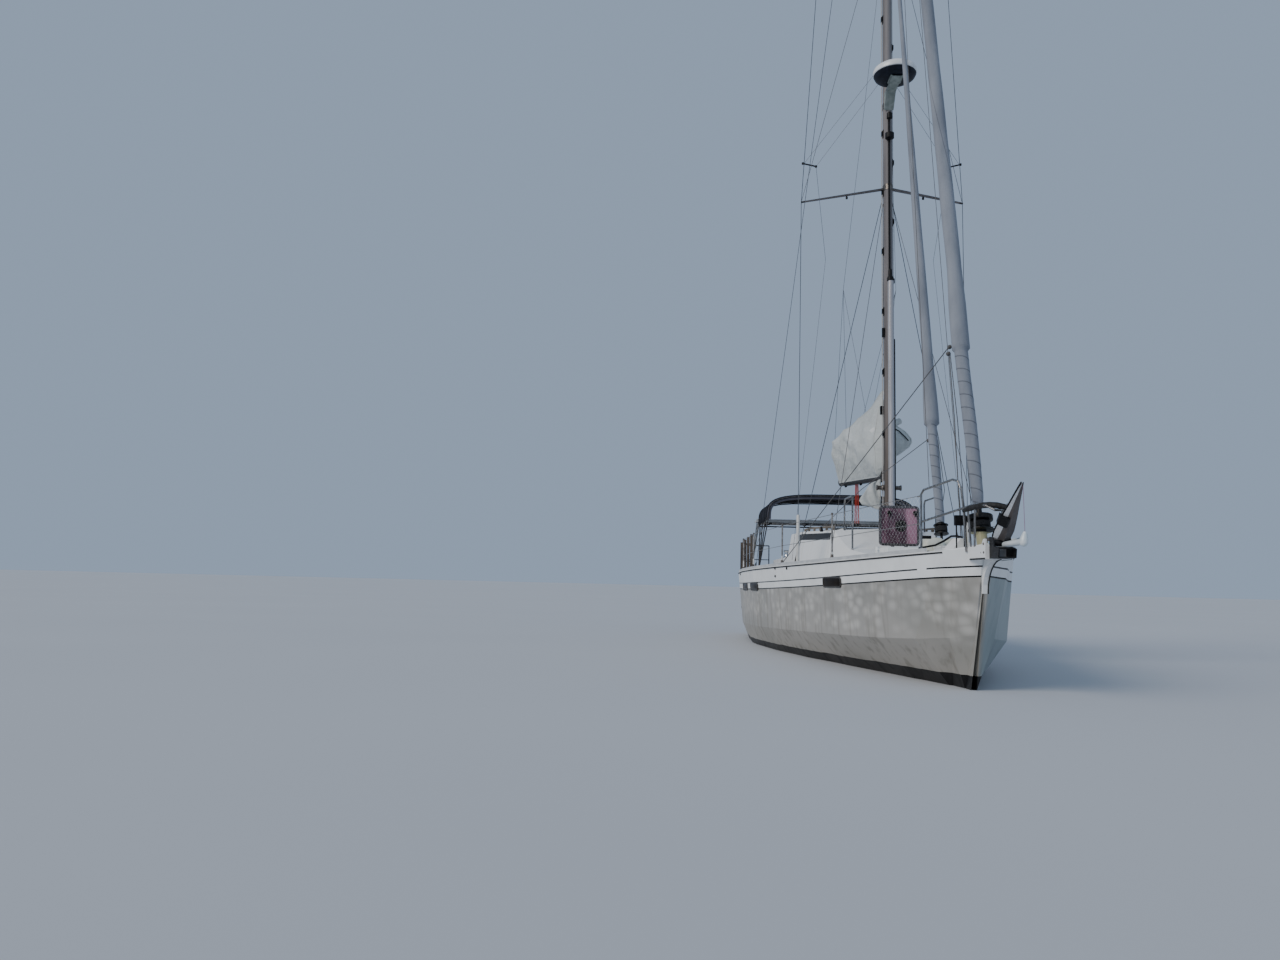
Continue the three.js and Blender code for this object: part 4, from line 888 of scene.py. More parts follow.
# Mast
# An extruded oval aluminium tube, grey anodised, stepped on the coachroof, with a sail track up
# its aft face, folding steps up both sides and the halyards led down beside it.
MAST = {"x": 1.35, "chord": 0.100, "half": 0.071, "foot": 1.91, "top": 17.50}
spar_grey = Finish("mast_anodised", specular_ior_level=0.3)
handled = spar_grey.noise(5, 4, (1, 1, 0.12)).ease(0.35, 0.7)
spar = spar_grey.mix(handled, (0.150, 0.140, 0.143), (0.225, 0.212, 0.215))
# Painted shade: the mast's lower part is coloured a dark warm brown, for shade with the warm sky reflected in
# it, fading out by z 6.
low_mast_painted_shade = spar_grey.z.ease(2.2, 6.0, 0.85, 0.0)
spar = spar_grey.mix(low_mast_painted_shade, spar, spar_grey.mix(handled, (0.055, 0.042, 0.034), (0.13, 0.105, 0.085)))
spar_grey.set(base_color=spar)
spar_grey.set(roughness=0.5 + 0.16 * handled)
def oval(x, half_chord, half_width, z, count=28):
    """A level ring round a spar that stands at x."""
    return [(x + half_chord * math.cos(t), half_width * math.sin(t), z) for t in around(count)]


mast = Shape()
MAST_LEVELS = (MAST["foot"], 1.96, 3.0, 5.0, 7.0, 9.0, 12.0, 15.0, MAST["top"])
mast.skin([oval(MAST["x"], MAST["chord"], MAST["half"], z, 36) for z in MAST_LEVELS])
mast.block((MAST["x"] - 0.108, -0.012, 3.2), (MAST["x"] - 0.096, 0.012, 17.3))
mast_piece = mast.make("mast_section", spar_grey)
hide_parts("mast")
mast_head = Shape()
mast_head.block((1.20, -0.04, 17.44), (1.50, 0.04, 17.56))
mast_head.turned([(0.03, 0), (0.03, 0.02)], (1.24, -0.03, 17.50), (0, 1, 0), 16)
MAST_COLLAR = ((0.115, 0.088, 1.908), (0.118, 0.090, 1.93), (0.112, 0.084, 1.965), (0.102, 0.073, 1.975))
mast_head.skin([oval(MAST["x"], a, b, z) for a, b, z in MAST_COLLAR], ends=False)
for z in (7.40, 12.27, 13.26, 8.76):
    mast_head.skin([
        oval(MAST["x"], MAST["chord"] + grow, MAST["half"] + grow, z + rise)
        for grow, rise in ((0.001, -0.05), (0.006, -0.045), (0.006, 0.045), (0.001, 0.05))
    ], ends=False)
mast_head.make("mast_bands_and_head", dark_steel)
dress(spar_grey, "lower_spreader_port", "lower_spreader_starboard",
      "upper_spreader_port", "upper_spreader_starboard")


# Mast steps and track fittings
# Folding steps of dark anodised plate, riveted to both sides of the mast in turn, with the deck
# and steaming lights on its front.
steps_shape = Shape()
STEP_GAP = 0.97
for side, first in ((-1, 3.42), (1, 3.90)):
    for k in range(14):
        z = first + STEP_GAP * k
        low, high = sorted((side * 0.066, side * 0.098))
        tread_plate = [(1.325, low, z), (1.375, low, z), (1.375, high, z + 0.012), (1.325, high, z + 0.012)]
        steps_shape.slab(tread_plate, (0, 0, 0.075))
        low, high = sorted((side * 0.070, side * 0.078))
        steps_shape.block((1.318, low, z - 0.03), (1.382, high, z + 0.10))
steps_shape.block((1.262, -0.118, 3.77), (1.325, -0.068, 3.90))
steps_shape.block((1.215, -0.03, 2.98), (1.25, 0.03, 3.35))
for z, size in ((8.55, 0.044), (8.22, 0.070), (5.98, 0.03)):
    lamp_body = [(0.0, -0.06), (size, -0.05), (size, 0.03), (0.02, 0.055), (0, 0.056)]
    steps_shape.turned(lamp_body, (1.50, 0.0, z), sides=16)
    steps_shape.block((1.44, -0.015, z - 0.01), (1.50, 0.015, z + 0.015))
steps_shape.block((1.36, -0.105, 4.98), (1.41, -0.07, 5.12))
steps_shape.make("mast_steps_and_lights", black_plastic)
mast_gear = Shape()
for x, y in ((1.30, -0.088), (1.36, -0.090), (1.33, 0.088), (1.25, 0.060)):
    mast_gear.tube([(x, y, 2.05), (x, y * 0.98, 9.0), (x + 0.01, y * 0.9, 17.35)], 0.005, 6)
halyard_white = mottled(
    "halyard_rope", (0.36, 0.35, 0.34), (0.55, 0.54, 0.52), (70, (0.8, 0.0, 0.0), 1.0),
    kind=Finish.wave, roughness=0.8,
)
mast_gear.make("halyards_beside_mast", halyard_white)
MAST_WINCH = (
    (0.045, -0.02), (0.048, 0.0), (0.048, 0.014), (0.034, 0.03), (0.032, 0.075), (0.044, 0.095),
    (0.044, 0.105), (0, 0.108),
)
for name, side in SIDES:
    winch = Shape().turned(MAST_WINCH, (1.33, side * 0.085, 2.62), (0, side, 0))
    winch.make(f"mast_winch_{name}", dark_steel)


# Radar
# A moulded dome with a white rim over a navy base, on a welded bracket ahead of the mast.
radar_white = mottled(
    "radar_gelcoat", (0.78, 0.80, 0.82), (0.66, 0.68, 0.70), (12, 4), (0.4, 0.75), (0.26, 0.2),
)
radar_navy = mottled(
    "radar_base", (0.004, 0.006, 0.014), (0.010, 0.014, 0.028), (20, 4), (0.4, 0.7),
    specular_ior_level=0.25,
)
RADAR = (1.88, 0, 8.93)
DOME = (
    (0.320, 0.078), (0.330, 0.088), (0.331, 0.138), (0.315, 0.170), (0.25, 0.214), (0.155, 0.243),
    (0.0, 0.255),
)
dome_piece = Shape().turned(DOME, RADAR, sides=40).make("radar_dome", radar_white)
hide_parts("radar")
DOME_BASE = (
    (0.0, 0.001), (0.20, 0.001), (0.258, 0.012), (0.305, 0.040), (0.323, 0.076), (0.310, 0.082),
    (0.0, 0.082),
)
Shape().turned(DOME_BASE, RADAR, sides=40).make("radar_base", radar_navy)
bracket = Shape()
MAST_FRONT = 1.4515
ARM_END, ARM_TOP = 2.04, 8.929
ARM = ((MAST_FRONT, 8.66), (1.62, 8.885), (ARM_END, 8.902), (ARM_END, ARM_TOP), (MAST_FRONT, ARM_TOP))
bracket.slab([(x, -0.075, z) for x, z in ARM], (0, 0.15, 0))
bracket.block((1.80, -0.10, 8.915), (ARM_END, 0.10, ARM_TOP))
arm_paint = mottled(
    "radar_arm_paint", (0.20, 0.235, 0.215), (0.33, 0.365, 0.34), (14, 4), (0.35, 0.7), roughness=0.6,
)
bracket.make("radar_bracket", arm_paint)


# Spreader fittings
# Leather-dark boots on the spreader tips, a work light under each lower spreader, and short bars
# on the shrouds that keep the flag lines off.
FLAG_BAR = ((0.885, 1.285, 8.02), (0.93, 1.075, 7.95))
boots = Shape()
for _, side in SIDES:
    for x, y, z in ((0.89, 1.303, 7.354), (1.0, 1.003, 12.25)):
        boots.tube([(x + 0.03, side * (y - 0.05), z + 0.002), (x, side * (y + 0.004), z)], [0.012, 0.017], 12)
    lamp = [(0.0, -0.055), (0.018, -0.05), (0.018, -0.02), (0.007, 0.0)]
    boots.turned(lamp, (1.135, side * 0.61, 7.365), sides=14)
    bar = [(x, side * y, z) for x, y, z in FLAG_BAR]
    boots.tube(bar, 0.013)
    for knob in bar:
        boots.turned([(0.0, -0.024), (0.02, -0.014), (0.02, 0.014), (0.0, 0.024)], knob, sides=12)
boots.make("spreader_boots_and_lights", black_plastic)


# Spinnaker pole
# A light aluminium tube stowed upright on the front of the mast, with cast jaws at both ends.
pole_grey = mottled(
    "pole_anodised", (0.36, 0.36, 0.385), (0.47, 0.47, 0.495), (30, 4, (1, 1, 0.05)), (0.4, 0.7),
    (0.3, 0.18), metallic=0.2,
)
POLE_X = 1.512
POLE_FOOT, POLE_TOP = 2.10, 5.86
pole = Shape().tube([(POLE_X, 0.004, z) for z in (POLE_FOOT, 4.0, POLE_TOP)], 0.046, 28)
pole_piece = pole.make("pole_tube", pole_grey)
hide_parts("spinnaker_pole")
jaws = Shape()
JAW = ((0.052, -0.02), (0.053, 0.02), (0.040, 0.05), (0.026, 0.075), (0.020, 0.098), (0.0, 0.1))
for z, way in ((POLE_FOOT, -1), (POLE_TOP, 1)):
    jaws.turned(JAW, (POLE_X, 0, z), (0, 0, way), 20)
jaws.block((MAST_FRONT, -0.022, POLE_FOOT - 0.04), (POLE_X, 0.022, POLE_FOOT + 0.03))
jaws.block((MAST_FRONT, -0.022, POLE_TOP - 0.03), (POLE_X, 0.022, POLE_TOP + 0.04))
jaws.block((MAST_FRONT, -0.014, 2.0), (1.466, 0.014, 8.62))
jaws.tube([(1.500, 0.062, z) for z in (2.12, 3.5, 4.9)], 0.010, 10)
jaws.make("pole_jaws_and_track", black_plastic)


# Boom
# An oval aluminium tube on a gooseneck, with reefing lines along its underside. Its colour is
# painted dark all over, as painted shade from the bag above it.
BOOM_FORE, BOOM_AFT, BOOM_Z, BOOM_RISE = 1.12, -2.95, 2.85, 0.315


def boom_z(x):
    return BOOM_Z + (BOOM_FORE - x) / (BOOM_FORE - BOOM_AFT) * BOOM_RISE


# Painted shade: the whole boom is coloured near black.
boom_in_painted_shade = mottled(
    "boom_anodised", (0.040, 0.036, 0.036), (0.085, 0.078, 0.076), (9, 4, (0.15, 1, 1)), (0.35, 0.7),
    (0.4, 0.15), specular_ior_level=0.2,
)
BOOM_HALF_DEPTH, BOOM_HALF_WIDTH = 0.085, 0.060
PIN_X = 1.19
boom = Shape()
tilt = math.atan2(BOOM_RISE, BOOM_FORE - BOOM_AFT)
boom.skin([
    [(x + BOOM_HALF_DEPTH * math.cos(t) * math.sin(tilt), BOOM_HALF_WIDTH * math.sin(t),
      boom_z(x) + BOOM_HALF_DEPTH * math.cos(t) * math.cos(tilt)) for t in around(28)]
    for x in (BOOM_FORE, 0.5, -0.5, -1.5, BOOM_AFT)
])
boom.tube([(PIN_X, 0, 2.803), (PIN_X, 0, 2.896)], 0.029, 20)
boom.block((1.09, -0.014, 2.812), (1.182, 0.014, 2.888))
boom_piece = boom.make("boom_section", boom_in_painted_shade, "boom")
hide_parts("boom")
boom_gear = Shape()
for y in (-0.045, 0.045):
    boom_gear.tube([(x, y, boom_z(x) - BOOM_HALF_DEPTH) for x in (0.95, -2.8)], 0.006, 6)
for x in (0.75, -0.9, -2.4):
    boom_gear.tube([(x - 0.03, 0, boom_z(x) - 0.10), (x + 0.03, 0, boom_z(x) - 0.10)], 0.02, 12)
    boom_gear.block((x - 0.02, -0.012, boom_z(x) - 0.10), (x + 0.02, 0.012, boom_z(x) - 0.07))
boom_gear.make("boom_reefing_lines", black_plastic, "boom")


# Standing rigging
# Stranded stainless wire, swaged into turnbuckles on the deck plates, with white plastic tubes
# over the cap shrouds' feet. Thinner wires are the intermediates, forward lowers and flag lines.
wire = mottled(
    "rigging_wire", (0.05, 0.05, 0.052), (0.13, 0.13, 0.135), (120, (0.6, 0.0, 0.0), 0.5),
    kind=Finish.wave, metallic=0.6,
)
wire.set(roughness=0.42)
dress(wire, "cap_shroud_port", "cap_shroud_starboard", "lower_shroud_port", "lower_shroud_starboard")
dress(wire, "backstay_port", "backstay_starboard")
CAP_SHROUD = (Vector((0.88, 1.33, deck_z(0.88, 1.33))), Vector((0.89, 1.3078, 7.355)))
LOWER_SHROUD = (Vector((0.62, 1.35, deck_z(0.62, 1.35))), Vector((1.29, 0.067, 7.28)))
BACKSTAY = (Vector((-5.94, 1.45, 1.33)), Vector((1.195, 0.02, 17.5)))


def up_the_wire(wire_ends, side, distances):
    """Points on a wire at these distances from its foot, on one side of the boat."""
    foot, head = [Vector((end.x, side * end.y, end.z)) for end in wire_ends]
    return [foot + (head - foot).normalized() * distance for distance in distances]


feet = Shape()
covers = Shape()
for _, side in SIDES:
    for shroud in (CAP_SHROUD, LOWER_SHROUD):
        feet.tube(up_the_wire(shroud, side, (0.03, 0.08, 0.26, 0.30)), [0.012, 0.017, 0.017, 0.009], 12)
        x, y, z = shroud[0]
        feet.block((x - 0.02, side * y - 0.004, z - 0.01), (x + 0.02, side * y + 0.004, z + 0.06))
    covers.tube(up_the_wire(CAP_SHROUD, side, (0.06, 0.78, 0.80)), [0.027, 0.027, 0.018], 16)
    feet.tube(up_the_wire(BACKSTAY, side, (0.02, 0.06, 0.26, 0.30)), [0.010, 0.017, 0.017, 0.008], 12)
feet.make("turnbuckles", dark_steel)
cover_white = mottled(
    "shroud_cover_plastic", (0.52, 0.53, 0.53), (0.66, 0.66, 0.64), (10, 4, (1, 1, 0.3)), (0.35, 0.75),
    roughness=0.5,
)
covers.make("shroud_covers", cover_white)
thin_lines = Shape()
for _, side in SIDES:
    for start, end, radius in (
        ((1.31, 0.068, 12.15), (0.89, 1.300, 7.385), 0.004),
        ((1.0, 1.00, 12.22), (1.33, 0.07, 12.9), 0.003),
        ((0.885, 1.265, 8.02), (1.33, 0.075, 9.5), 0.0025),
        ((0.93, 1.075, 7.95), (1.33, 0.075, 9.25), 0.0025),
        ((0.93, 1.075, 7.95), (0.70, 0.88, 6.45), 0.003),
        ((0.70, 0.88, 6.45), (0.55, 1.38, 1.50), 0.0025),
        ((1.345, 0.073, 7.15), (2.60, 1.10, deck_z(2.60, 1.10)), 0.0045),
    ):
        thin_lines.tube([(x, side * y, z) for x, y, z in (start, end)], radius, 6)
thin_lines.make("intermediates_and_flag_lines", wire)


# Furlers
# Black moulded drums with the furling line in them, on an alloy foot over the deck plate. The
# genoa's foot has a cream sleeve, and the swivels above turn with the rolled sails.
drum_black = Finish("furler_drum", specular_ior_level=0.25)
rubbed_drum = drum_black.noise(30, 4).ease(0.4, 0.75)
black = drum_black.mix(rubbed_drum, (0.004, 0.004, 0.004), (0.014, 0.014, 0.015))
sleeve_band = drum_black.z.between(1.555, 1.70) * (drum_black.x > 5.5)
drum_black.set(base_color=drum_black.mix(sleeve_band, black, (0.42, 0.40, 0.24)))
drum_black.set(roughness=0.36 + 0.25 * rubbed_drum)
dress(drum_black, "genoa_furler", "staysail_furler")
STAYS = {
    "genoa": (Vector((5.703, 0, 1.987)), Vector((1.490, 0, 17.442))),
    "staysail": (Vector((4.207, 0, 1.896)), Vector((1.440, 0, 13.264))),
}
turns_of_line = Shape()
LINE_TURNS, LINE_RIDGE = 6, 0.006
for sail, low, high, radius in (("genoa", -0.25, -0.19, 0.100), ("staysail", -0.115, -0.055, 0.072)):
    tack, head = STAYS[sail]
    steps = LINE_TURNS * 4
    profile = [
        (radius + LINE_RIDGE * abs(math.sin(math.pi * k / 4)), low + (high - low) * k / steps)
        for k in range(steps + 1)
    ]
    turns_of_line.turned([(0.06, low), *profile, (0.06, high)], tack, head - tack, 24)
furling_rope = mottled(
    "furling_rope", (0.012, 0.012, 0.013), (0.05, 0.05, 0.052), (90, (0.8, 0.0, 0.0), 1.0),
    kind=Finish.wave, roughness=0.8,
)
turns_of_line.make("furling_line_turns", furling_rope)


# Rolled headsails
# The genoa and the staysail are wound on their stays, grey sun strip outwards. The leech shows as
# a slanting edge round the roll, and the foot below the clew is wound tighter, in close turns.
LEECH_PITCH = 0.21


def rolled_cloth(name, tack, head, low_turns, fade):
    """Sun strip on a roll, with dark lines of painted shadow where its edge winds: steeply below the clew,
    and along the leech above it.
    """
    cloth = Finish(name, roughness=0.85)
    way = (head - tack).normalized()
    aside = Vector((way.z, 0, -way.x))
    along = (cloth.x - tack.x) * way.x + (cloth.z - tack.z) * way.z
    out = (cloth.x - tack.x) * aside.x + (cloth.z - tack.z) * aside.z
    turn = cloth.y.math("ARCTAN2", out) / (2 * math.pi)
    tight = along < fade
    steep = (turn + along * low_turns).math("FRACT")
    long_edge = (turn + along * LEECH_PITCH).math("FRACT")
    low_turn_shadow_line = steep.ease(0.0, 0.12, 1.0, 0.0) * tight
    leech = long_edge.ease(0.0, 0.03, 1.0, 0.0) * (1 - tight)
    shade = cloth.noise(3.5, 4, (1, 1, 0.35)).ease(0.3, 0.7)
    weave = cloth.wave(420, (0, 0, 0)) * cloth.wave(420, (math.pi / 2, 0, 0))
    grey = cloth.mix(shade, (0.175, 0.195, 0.235), (0.265, 0.290, 0.335))
    grey = cloth.mix(weave * 0.15, grey, (0.36, 0.38, 0.42))
    # Painted shadow: the wound edges are drawn as dark lines where the edge steps down round the roll.
    grey = cloth.mix(low_turn_shadow_line * 0.65 + leech * 0.55, grey, (0.030, 0.034, 0.048))
    cloth.set(base_color=grey)
    cloth.set(roughness=0.78 + 0.12 * shade)
    cloth.bump(shade * 0.5 + weave * 0.08 - 0.5 * low_turn_shadow_line, 0.006)
    return cloth


def rolled_sail(name, finish, tack, head, radii, low_turns, fade, seed, side_lean):
    """A roll round its stay: radii by the distance up, a ridge where the edge winds, and lumps."""
    rng = random.Random(seed)
    way = (head - tack).normalized()
    aside = Vector((way.z, 0, -way.x))
    lumps = [(rng.uniform(0.5, 3.5), rng.uniform(0, 6.28), rng.uniform(1, 3)) for _ in range(7)]
    rings = []
    h = 0.0
    top = radii[-1][0]
    while h < top:
        (h0, r0), (h1, r1) = next(pair for pair in zip(radii, radii[1:]) if h <= pair[1][0])
        radius = r0 + (r1 - r0) * (h - h0) / (h1 - h0)
        centre = tack + way * h + Vector((0, side_lean * math.exp(-((h - fade) ** 2) / 0.5), 0))
        ring = []
        for t in around(36):
            turn = t / (2 * math.pi)
            if h < fade:
                swell = 0.035 * math.exp(-((turn + h * low_turns) % 1) * 5)
            else:
                swell = 0.02 * ((turn + h * LEECH_PITCH) % 1 - 0.5)
            for rate, phase, lobes in lumps:
                swell += 0.007 * math.sin(rate * h * 2 + phase + int(lobes) * t)
            r = radius * (1 + swell)
            ring.append(centre + aside * (r * math.cos(t)) + Vector((0, r * math.sin(t), 0)))
        rings.append(ring)
        h += 0.035 if h < fade + 1.2 else 0.10
    made = Shape().skin(rings).tube([tack + way * top, head - way * 0.05], 0.009, 10)
    return made.make(name, finish, sharp=60)


GENOA_ROLL = (
    (0, 0.044), (0.08, 0.060), (0.55, 0.068), (1.0, 0.072), (1.90, 0.076), (1.905, 0.101), (2.5, 0.100),
    (3.0, 0.086), (5.0, 0.082), (7.5, 0.078), (14.8, 0.028), (14.9, 0.012),
)
STAYSAIL_ROLL = (
    (0, 0.046), (0.06, 0.052), (0.5, 0.055), (1.30, 0.061), (1.305, 0.097), (1.5, 0.095), (1.75, 0.086),
    (2.1, 0.070), (3.9, 0.060), (6.7, 0.037), (10.4, 0.022), (10.5, 0.010),
)
for sail, radii, low_turns, fade, seed, side_lean in (
    ("genoa", GENOA_ROLL, 6.2, 1.9, 11, -0.018),
    ("staysail", STAYSAIL_ROLL, 7.0, 1.3, 12, -0.014),
):
    cloth = rolled_cloth(f"{sail}_sun_strip", *STAYS[sail], low_turns, fade)
    roll = rolled_sail(f"{sail}_roll", cloth, *STAYS[sail], radii, low_turns, fade, seed, side_lean)
    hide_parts(f"{sail}_furled")


# Headsail sheets
# Two ropes lead from each clew to a block on the deck edge or the roof, and two more from the
# genoa's clew down to the foredeck. Two thin halyards lead from the masthead to the bow.
sheet_rope = mottled(
    "sheet_rope", (0.06, 0.06, 0.065), (0.16, 0.155, 0.15), (80, (0.7, 0.3, 0.0), 1.5),
    kind=Finish.wave, roughness=0.8,
)
sheets = Shape()
CLEWS = ((5.05, -0.105, 3.90), (5.05, -0.12, 3.82), (3.90, -0.055, 2.97))
SHEET_BLOCKS = ((0.63, -1.535, 1.45), (0.63, 1.535, 1.45), (0.70, -0.93, 2.01), (0.70, 0.93, 2.01))
for radius, sides, *path in (
    (0.006, 8, (5.05, -0.110, 3.905), (2.916, -0.80, 2.72), (0.63, -1.535, 1.46)),
    (0.006, 8, (5.05, -0.110, 3.80), (5.20, -0.100, 3.00), (5.36, -0.090, 1.66)),
    (0.005, 8, (5.06, -0.100, 3.80), (5.18, -0.060, 3.00), (5.33, -0.020, 1.60)),
    (0.006, 8, (5.05, 0.05, 3.88), (2.95, 0.72, 2.75), (0.63, 1.535, 1.46)),
    (0.005, 8, (3.90, -0.07, 2.98), (2.254, -0.60, 2.488), (0.70, -0.93, 2.02)),
    (0.005, 8, (3.90, 0.06, 2.98), (2.3, 0.58, 2.50), (0.70, 0.93, 2.02)),
    (0.004, 6, (1.50, -0.03, 17.35), (5.30, -0.42, 2.215)),
    (0.004, 6, (1.50, 0.03, 17.35), (5.40, -0.08, 1.60)),
):
    sheets.tube(path, radius, sides)
KNOT = ((0.0, -0.03), (0.022, -0.02), (0.026, 0.0), (0.022, 0.02), (0.0, 0.03))
for clew in CLEWS:
    sheets.turned(KNOT, clew, (0, 1, 0.4), 12)
sheets.make("headsail_sheets", sheet_rope)
blocks = Shape()
CHEEKS = ((0.012, -0.014), (0.034, -0.012), (0.034, 0.012), (0.012, 0.014))
for x, y, z in SHEET_BLOCKS:
    blocks.turned(CHEEKS, (x, y, z), (0, 1, 0.3), 20)
    blocks.block((x - 0.05, y - 0.02, z - 0.05), (x + 0.05, y + 0.02, z - 0.03))
blocks.make("sheet_blocks", black_plastic)


# Mainsail bag
# Pale acrylic canvas, laced along both sides of the boom and held up by lazy jacks. It stands
# highest at the mast, its sides sag between the jacks, and its fore end is turned back to port.
bag_canvas = Finish("bag_canvas", roughness=0.88)
broad = bag_canvas.noise(1.6, 4, (1, 1, 1)).ease(0.3, 0.7)
threads = bag_canvas.wave(500, (0, 0, 0)) * bag_canvas.wave(500, (math.pi / 2, 0, 0))
mildew = bag_canvas.noise(7, 5).ease(0.62, 0.85)
canvas = bag_canvas.mix(broad, (0.48, 0.515, 0.51), (0.60, 0.635, 0.63))
canvas = bag_canvas.mix(threads * 0.12, canvas, (0.72, 0.74, 0.73))
bag_canvas.set(base_color=bag_canvas.mix(mildew * 0.4, canvas, (0.36, 0.38, 0.36)))
bag_canvas.set(roughness=0.8 + 0.12 * broad)
folds = bag_canvas.noise(3.4, 3, (1.0, 1.0, 1.9)).ease(0.2, 0.8)
bag_canvas.bump(folds + 0.05 * threads, 0.02)
BAG_ROWS = (
    (1.06, 0.084, 0.175, 0.40, 0.035, 1.335),
    (0.80, 0.088, 0.205, 0.47, 0.070, 1.26),
    (0.50, 0.092, 0.225, 0.52, 0.100, 1.165),
    (-0.10, 0.094, 0.240, 0.56, 0.165, 1.030),
    (-0.80, 0.094, 0.244, 0.60, 0.200, 0.960),
    (-1.50, 0.094, 0.244, 0.62, 0.220, 0.900),
    (-2.20, 0.092, 0.236, 0.61, 0.220, 0.840),
    (-2.65, 0.090, 0.228, 0.60, 0.212, 0.788),
)
BAG_LOW = -0.030
BAG_FORE, BAG_LENGTH = 1.055, 3.70


def bag_row(x):
    for after, before in zip(BAG_ROWS, BAG_ROWS[1:]):
        if x >= before[0]:
            t = (after[0] - x) / (after[0] - before[0])
            return [a + t * (b - a) for a, b in zip(after, before)][1:]
    return BAG_ROWS[-1][1:]


def curve_through(a, b, c, t):
    """A smooth line from a through b, at half-way, to c."""
    knee = [2 * q - (p + r) / 2 for p, q, r in zip(a, b, c)]
    return [(1 - t) ** 2 * p + 2 * t * (1 - t) * q + t * t * r for p, q, r in zip(a, knee, c)]


def bag_point(x, side, t):
    """A point of the bag's side, t of the way from its foot on the boom to its top edge."""
    foot, shoulder, rise, top, high = bag_row(x)
    y, z = curve_through((foot, BAG_LOW), (shoulder, rise), (top, high), t)
    jack = abs(math.sin(math.pi * (x + 2.6) / 1.2))
    sag = 0.022 * jack * math.sin(math.pi * t) + 0.03 * (t ** 3) * jack
    crease = 0.012 * math.sin(9 * x + 6 * t + side) + 0.008 * math.sin(21 * x - 9 * t + 2 * side)
    fan = 0.014 * math.sin(14 * (z - 0.35) + 5 * x) * math.sin(math.pi * t)
    y += (crease + fan) * math.sin(math.pi * min(1, t * 1.15)) - 0.3 * sag
    return (x, side * max(y, 0.02), boom_z(x) + z - sag * t)


for side_name, side in SIDES:
    gore = [bag_point(BAG_FORE, side, k / 20) for k in range(21)]
    rings = [[(1.185, side * min(0.045, abs(y)), max(z, 2.975)) for _, y, z in gore]]
    for i in range(75):
        x = BAG_FORE - BAG_LENGTH * i / 74
        rings.append([bag_point(x, side, k / 20) for k in range(21)])
    panel = Shape().skin(rings, closed=False, ends=False)
    made = panel.make(f"sail_bag_{side_name}", bag_canvas, "boom", sharp=80)
    if side < 0:
        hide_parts("sail_bag")
bag_trim = mottled(
    "bag_hem_tape", (0.50, 0.53, 0.52), (0.62, 0.65, 0.64), (90, (0, 0, 0.4)),
    kind=Finish.wave, roughness=0.8,
)
hems = Shape()
for _, side in SIDES:
    for edge, radius in ((1, 0.008), (0, 0.006)):
        hems.tube([bag_point(BAG_FORE - BAG_LENGTH * i / 60, side, edge) for i in range(61)], radius)
    hems.tube([bag_point(BAG_FORE, side, k / 16) for k in range(17)], 0.007)
hems.make("sail_bag_hems", bag_trim, "boom")


# Flaked mainsail
# The mainsail lies in loose folds in its bag, heaped against the mast where its slides stack.
main_cloth = mottled(
    "mainsail_cloth", (0.60, 0.61, 0.60), (0.74, 0.75, 0.74), (6, 5, (0.4, 1, 1)), (0.3, 0.7),
    relief=0.015, roughness=0.8,
)
heap = Shape()
rings = []
for i in range(60):
    x = 1.03 - 3.62 * i / 59
    _, shoulder, rise, top_half, high = bag_row(x)
    fill = 1 + 0.30 * max(0, min(1, (x - 0.55) / 0.45))
    middle = 0.5 * (high + rise * 0.4)
    ring = []
    for t in around(24):
        fold = 1 + 0.06 * math.sin(5 * t + 7 * x) + 0.05 * math.sin(3 * t - 11 * x)
        half = 0.72 * fill * shoulder if math.sin(t) < 0.2 else (0.86 * top_half + 0.02) * fill
        rumple = 0.96 + 0.03 * math.sin(9 * x + 4 * t)
        z = middle + (high - 0.10 - middle) * math.sin(t) * rumple
        ring.append((x, half * fold * math.cos(t), boom_z(x) + z))
    rings.append(ring)
heap.skin(rings)
heap.make("mainsail_flaked", main_cloth, "boom", sharp=70)
EDGE = (
    (0.20, 3.700), (0.236, 3.68), (0.388, 3.58), (0.475, 3.47), (0.480, 3.42), (0.440, 3.35),
    (0.268, 3.215), (0.18, 3.19),
)
ROOT_Y, ROOT_Z = 0.10, 3.44
rings = []
for i in range(7):
    t = i / 6
    x = 0.78 + 0.07 * math.sin(math.pi * t) + 0.10 * (1 - t)
    grow = 0.55 + 0.45 * t
    rings.append([(x, ROOT_Y + (y - ROOT_Y) * t, ROOT_Z + (z - ROOT_Z) * grow) for y, z in EDGE])
flap = Shape().skin(rings, closed=False, ends=False)
flap_piece = flap.make("sail_bag_turned_end", bag_canvas, "boom", sharp=80)
ROLL_TOP = ((0.80, 0.20, 3.70), (0.78, 0.25, 3.735), (0.77, 0.305, 3.765), (0.77, 0.325, 3.775))
rolled_end = Shape().tube(ROLL_TOP, [0.040, 0.052, 0.050, 0.030], 16)
rolled_end.tube([(0.78, y, z) for y, z in EDGE], 0.016, 10)
rolled_end.make("sail_bag_rolled_edge", bag_trim, "boom")
# Painted shade: a thin black tube along the inner edge of the turned-back fold, where shade falls in the gap.
FOLD_SHADOW_LINE = ((0.90, 0.16, 3.63), (0.90, 0.26, 3.58), (0.88, 0.36, 3.49), (0.87, 0.415, 3.43))
Shape().tube(FOLD_SHADOW_LINE, 0.009).make("sail_bag_fold_shadow", black_plastic, "boom")


# Lazy jacks
# Thin lines from the mast down to both sides of the bag, which hold it up. They meet the mast
# close to the boom's pin line, so they swing with the boom.
jacks = Shape()
JACK_KNOT = (-0.10, 0.45, 6.2)
for _, side in SIDES:
    knot = (JACK_KNOT[0], side * JACK_KNOT[1], JACK_KNOT[2])
    for x in (0.2, -1.2, -2.4):
        jacks.tube([bag_point(x, side, 1), knot], 0.003, 6)
    jacks.tube([knot, (PIN_X, side * 0.03, 11.6)], 0.003, 6)
jacks.make("lazy_jacks", wire, "boom")


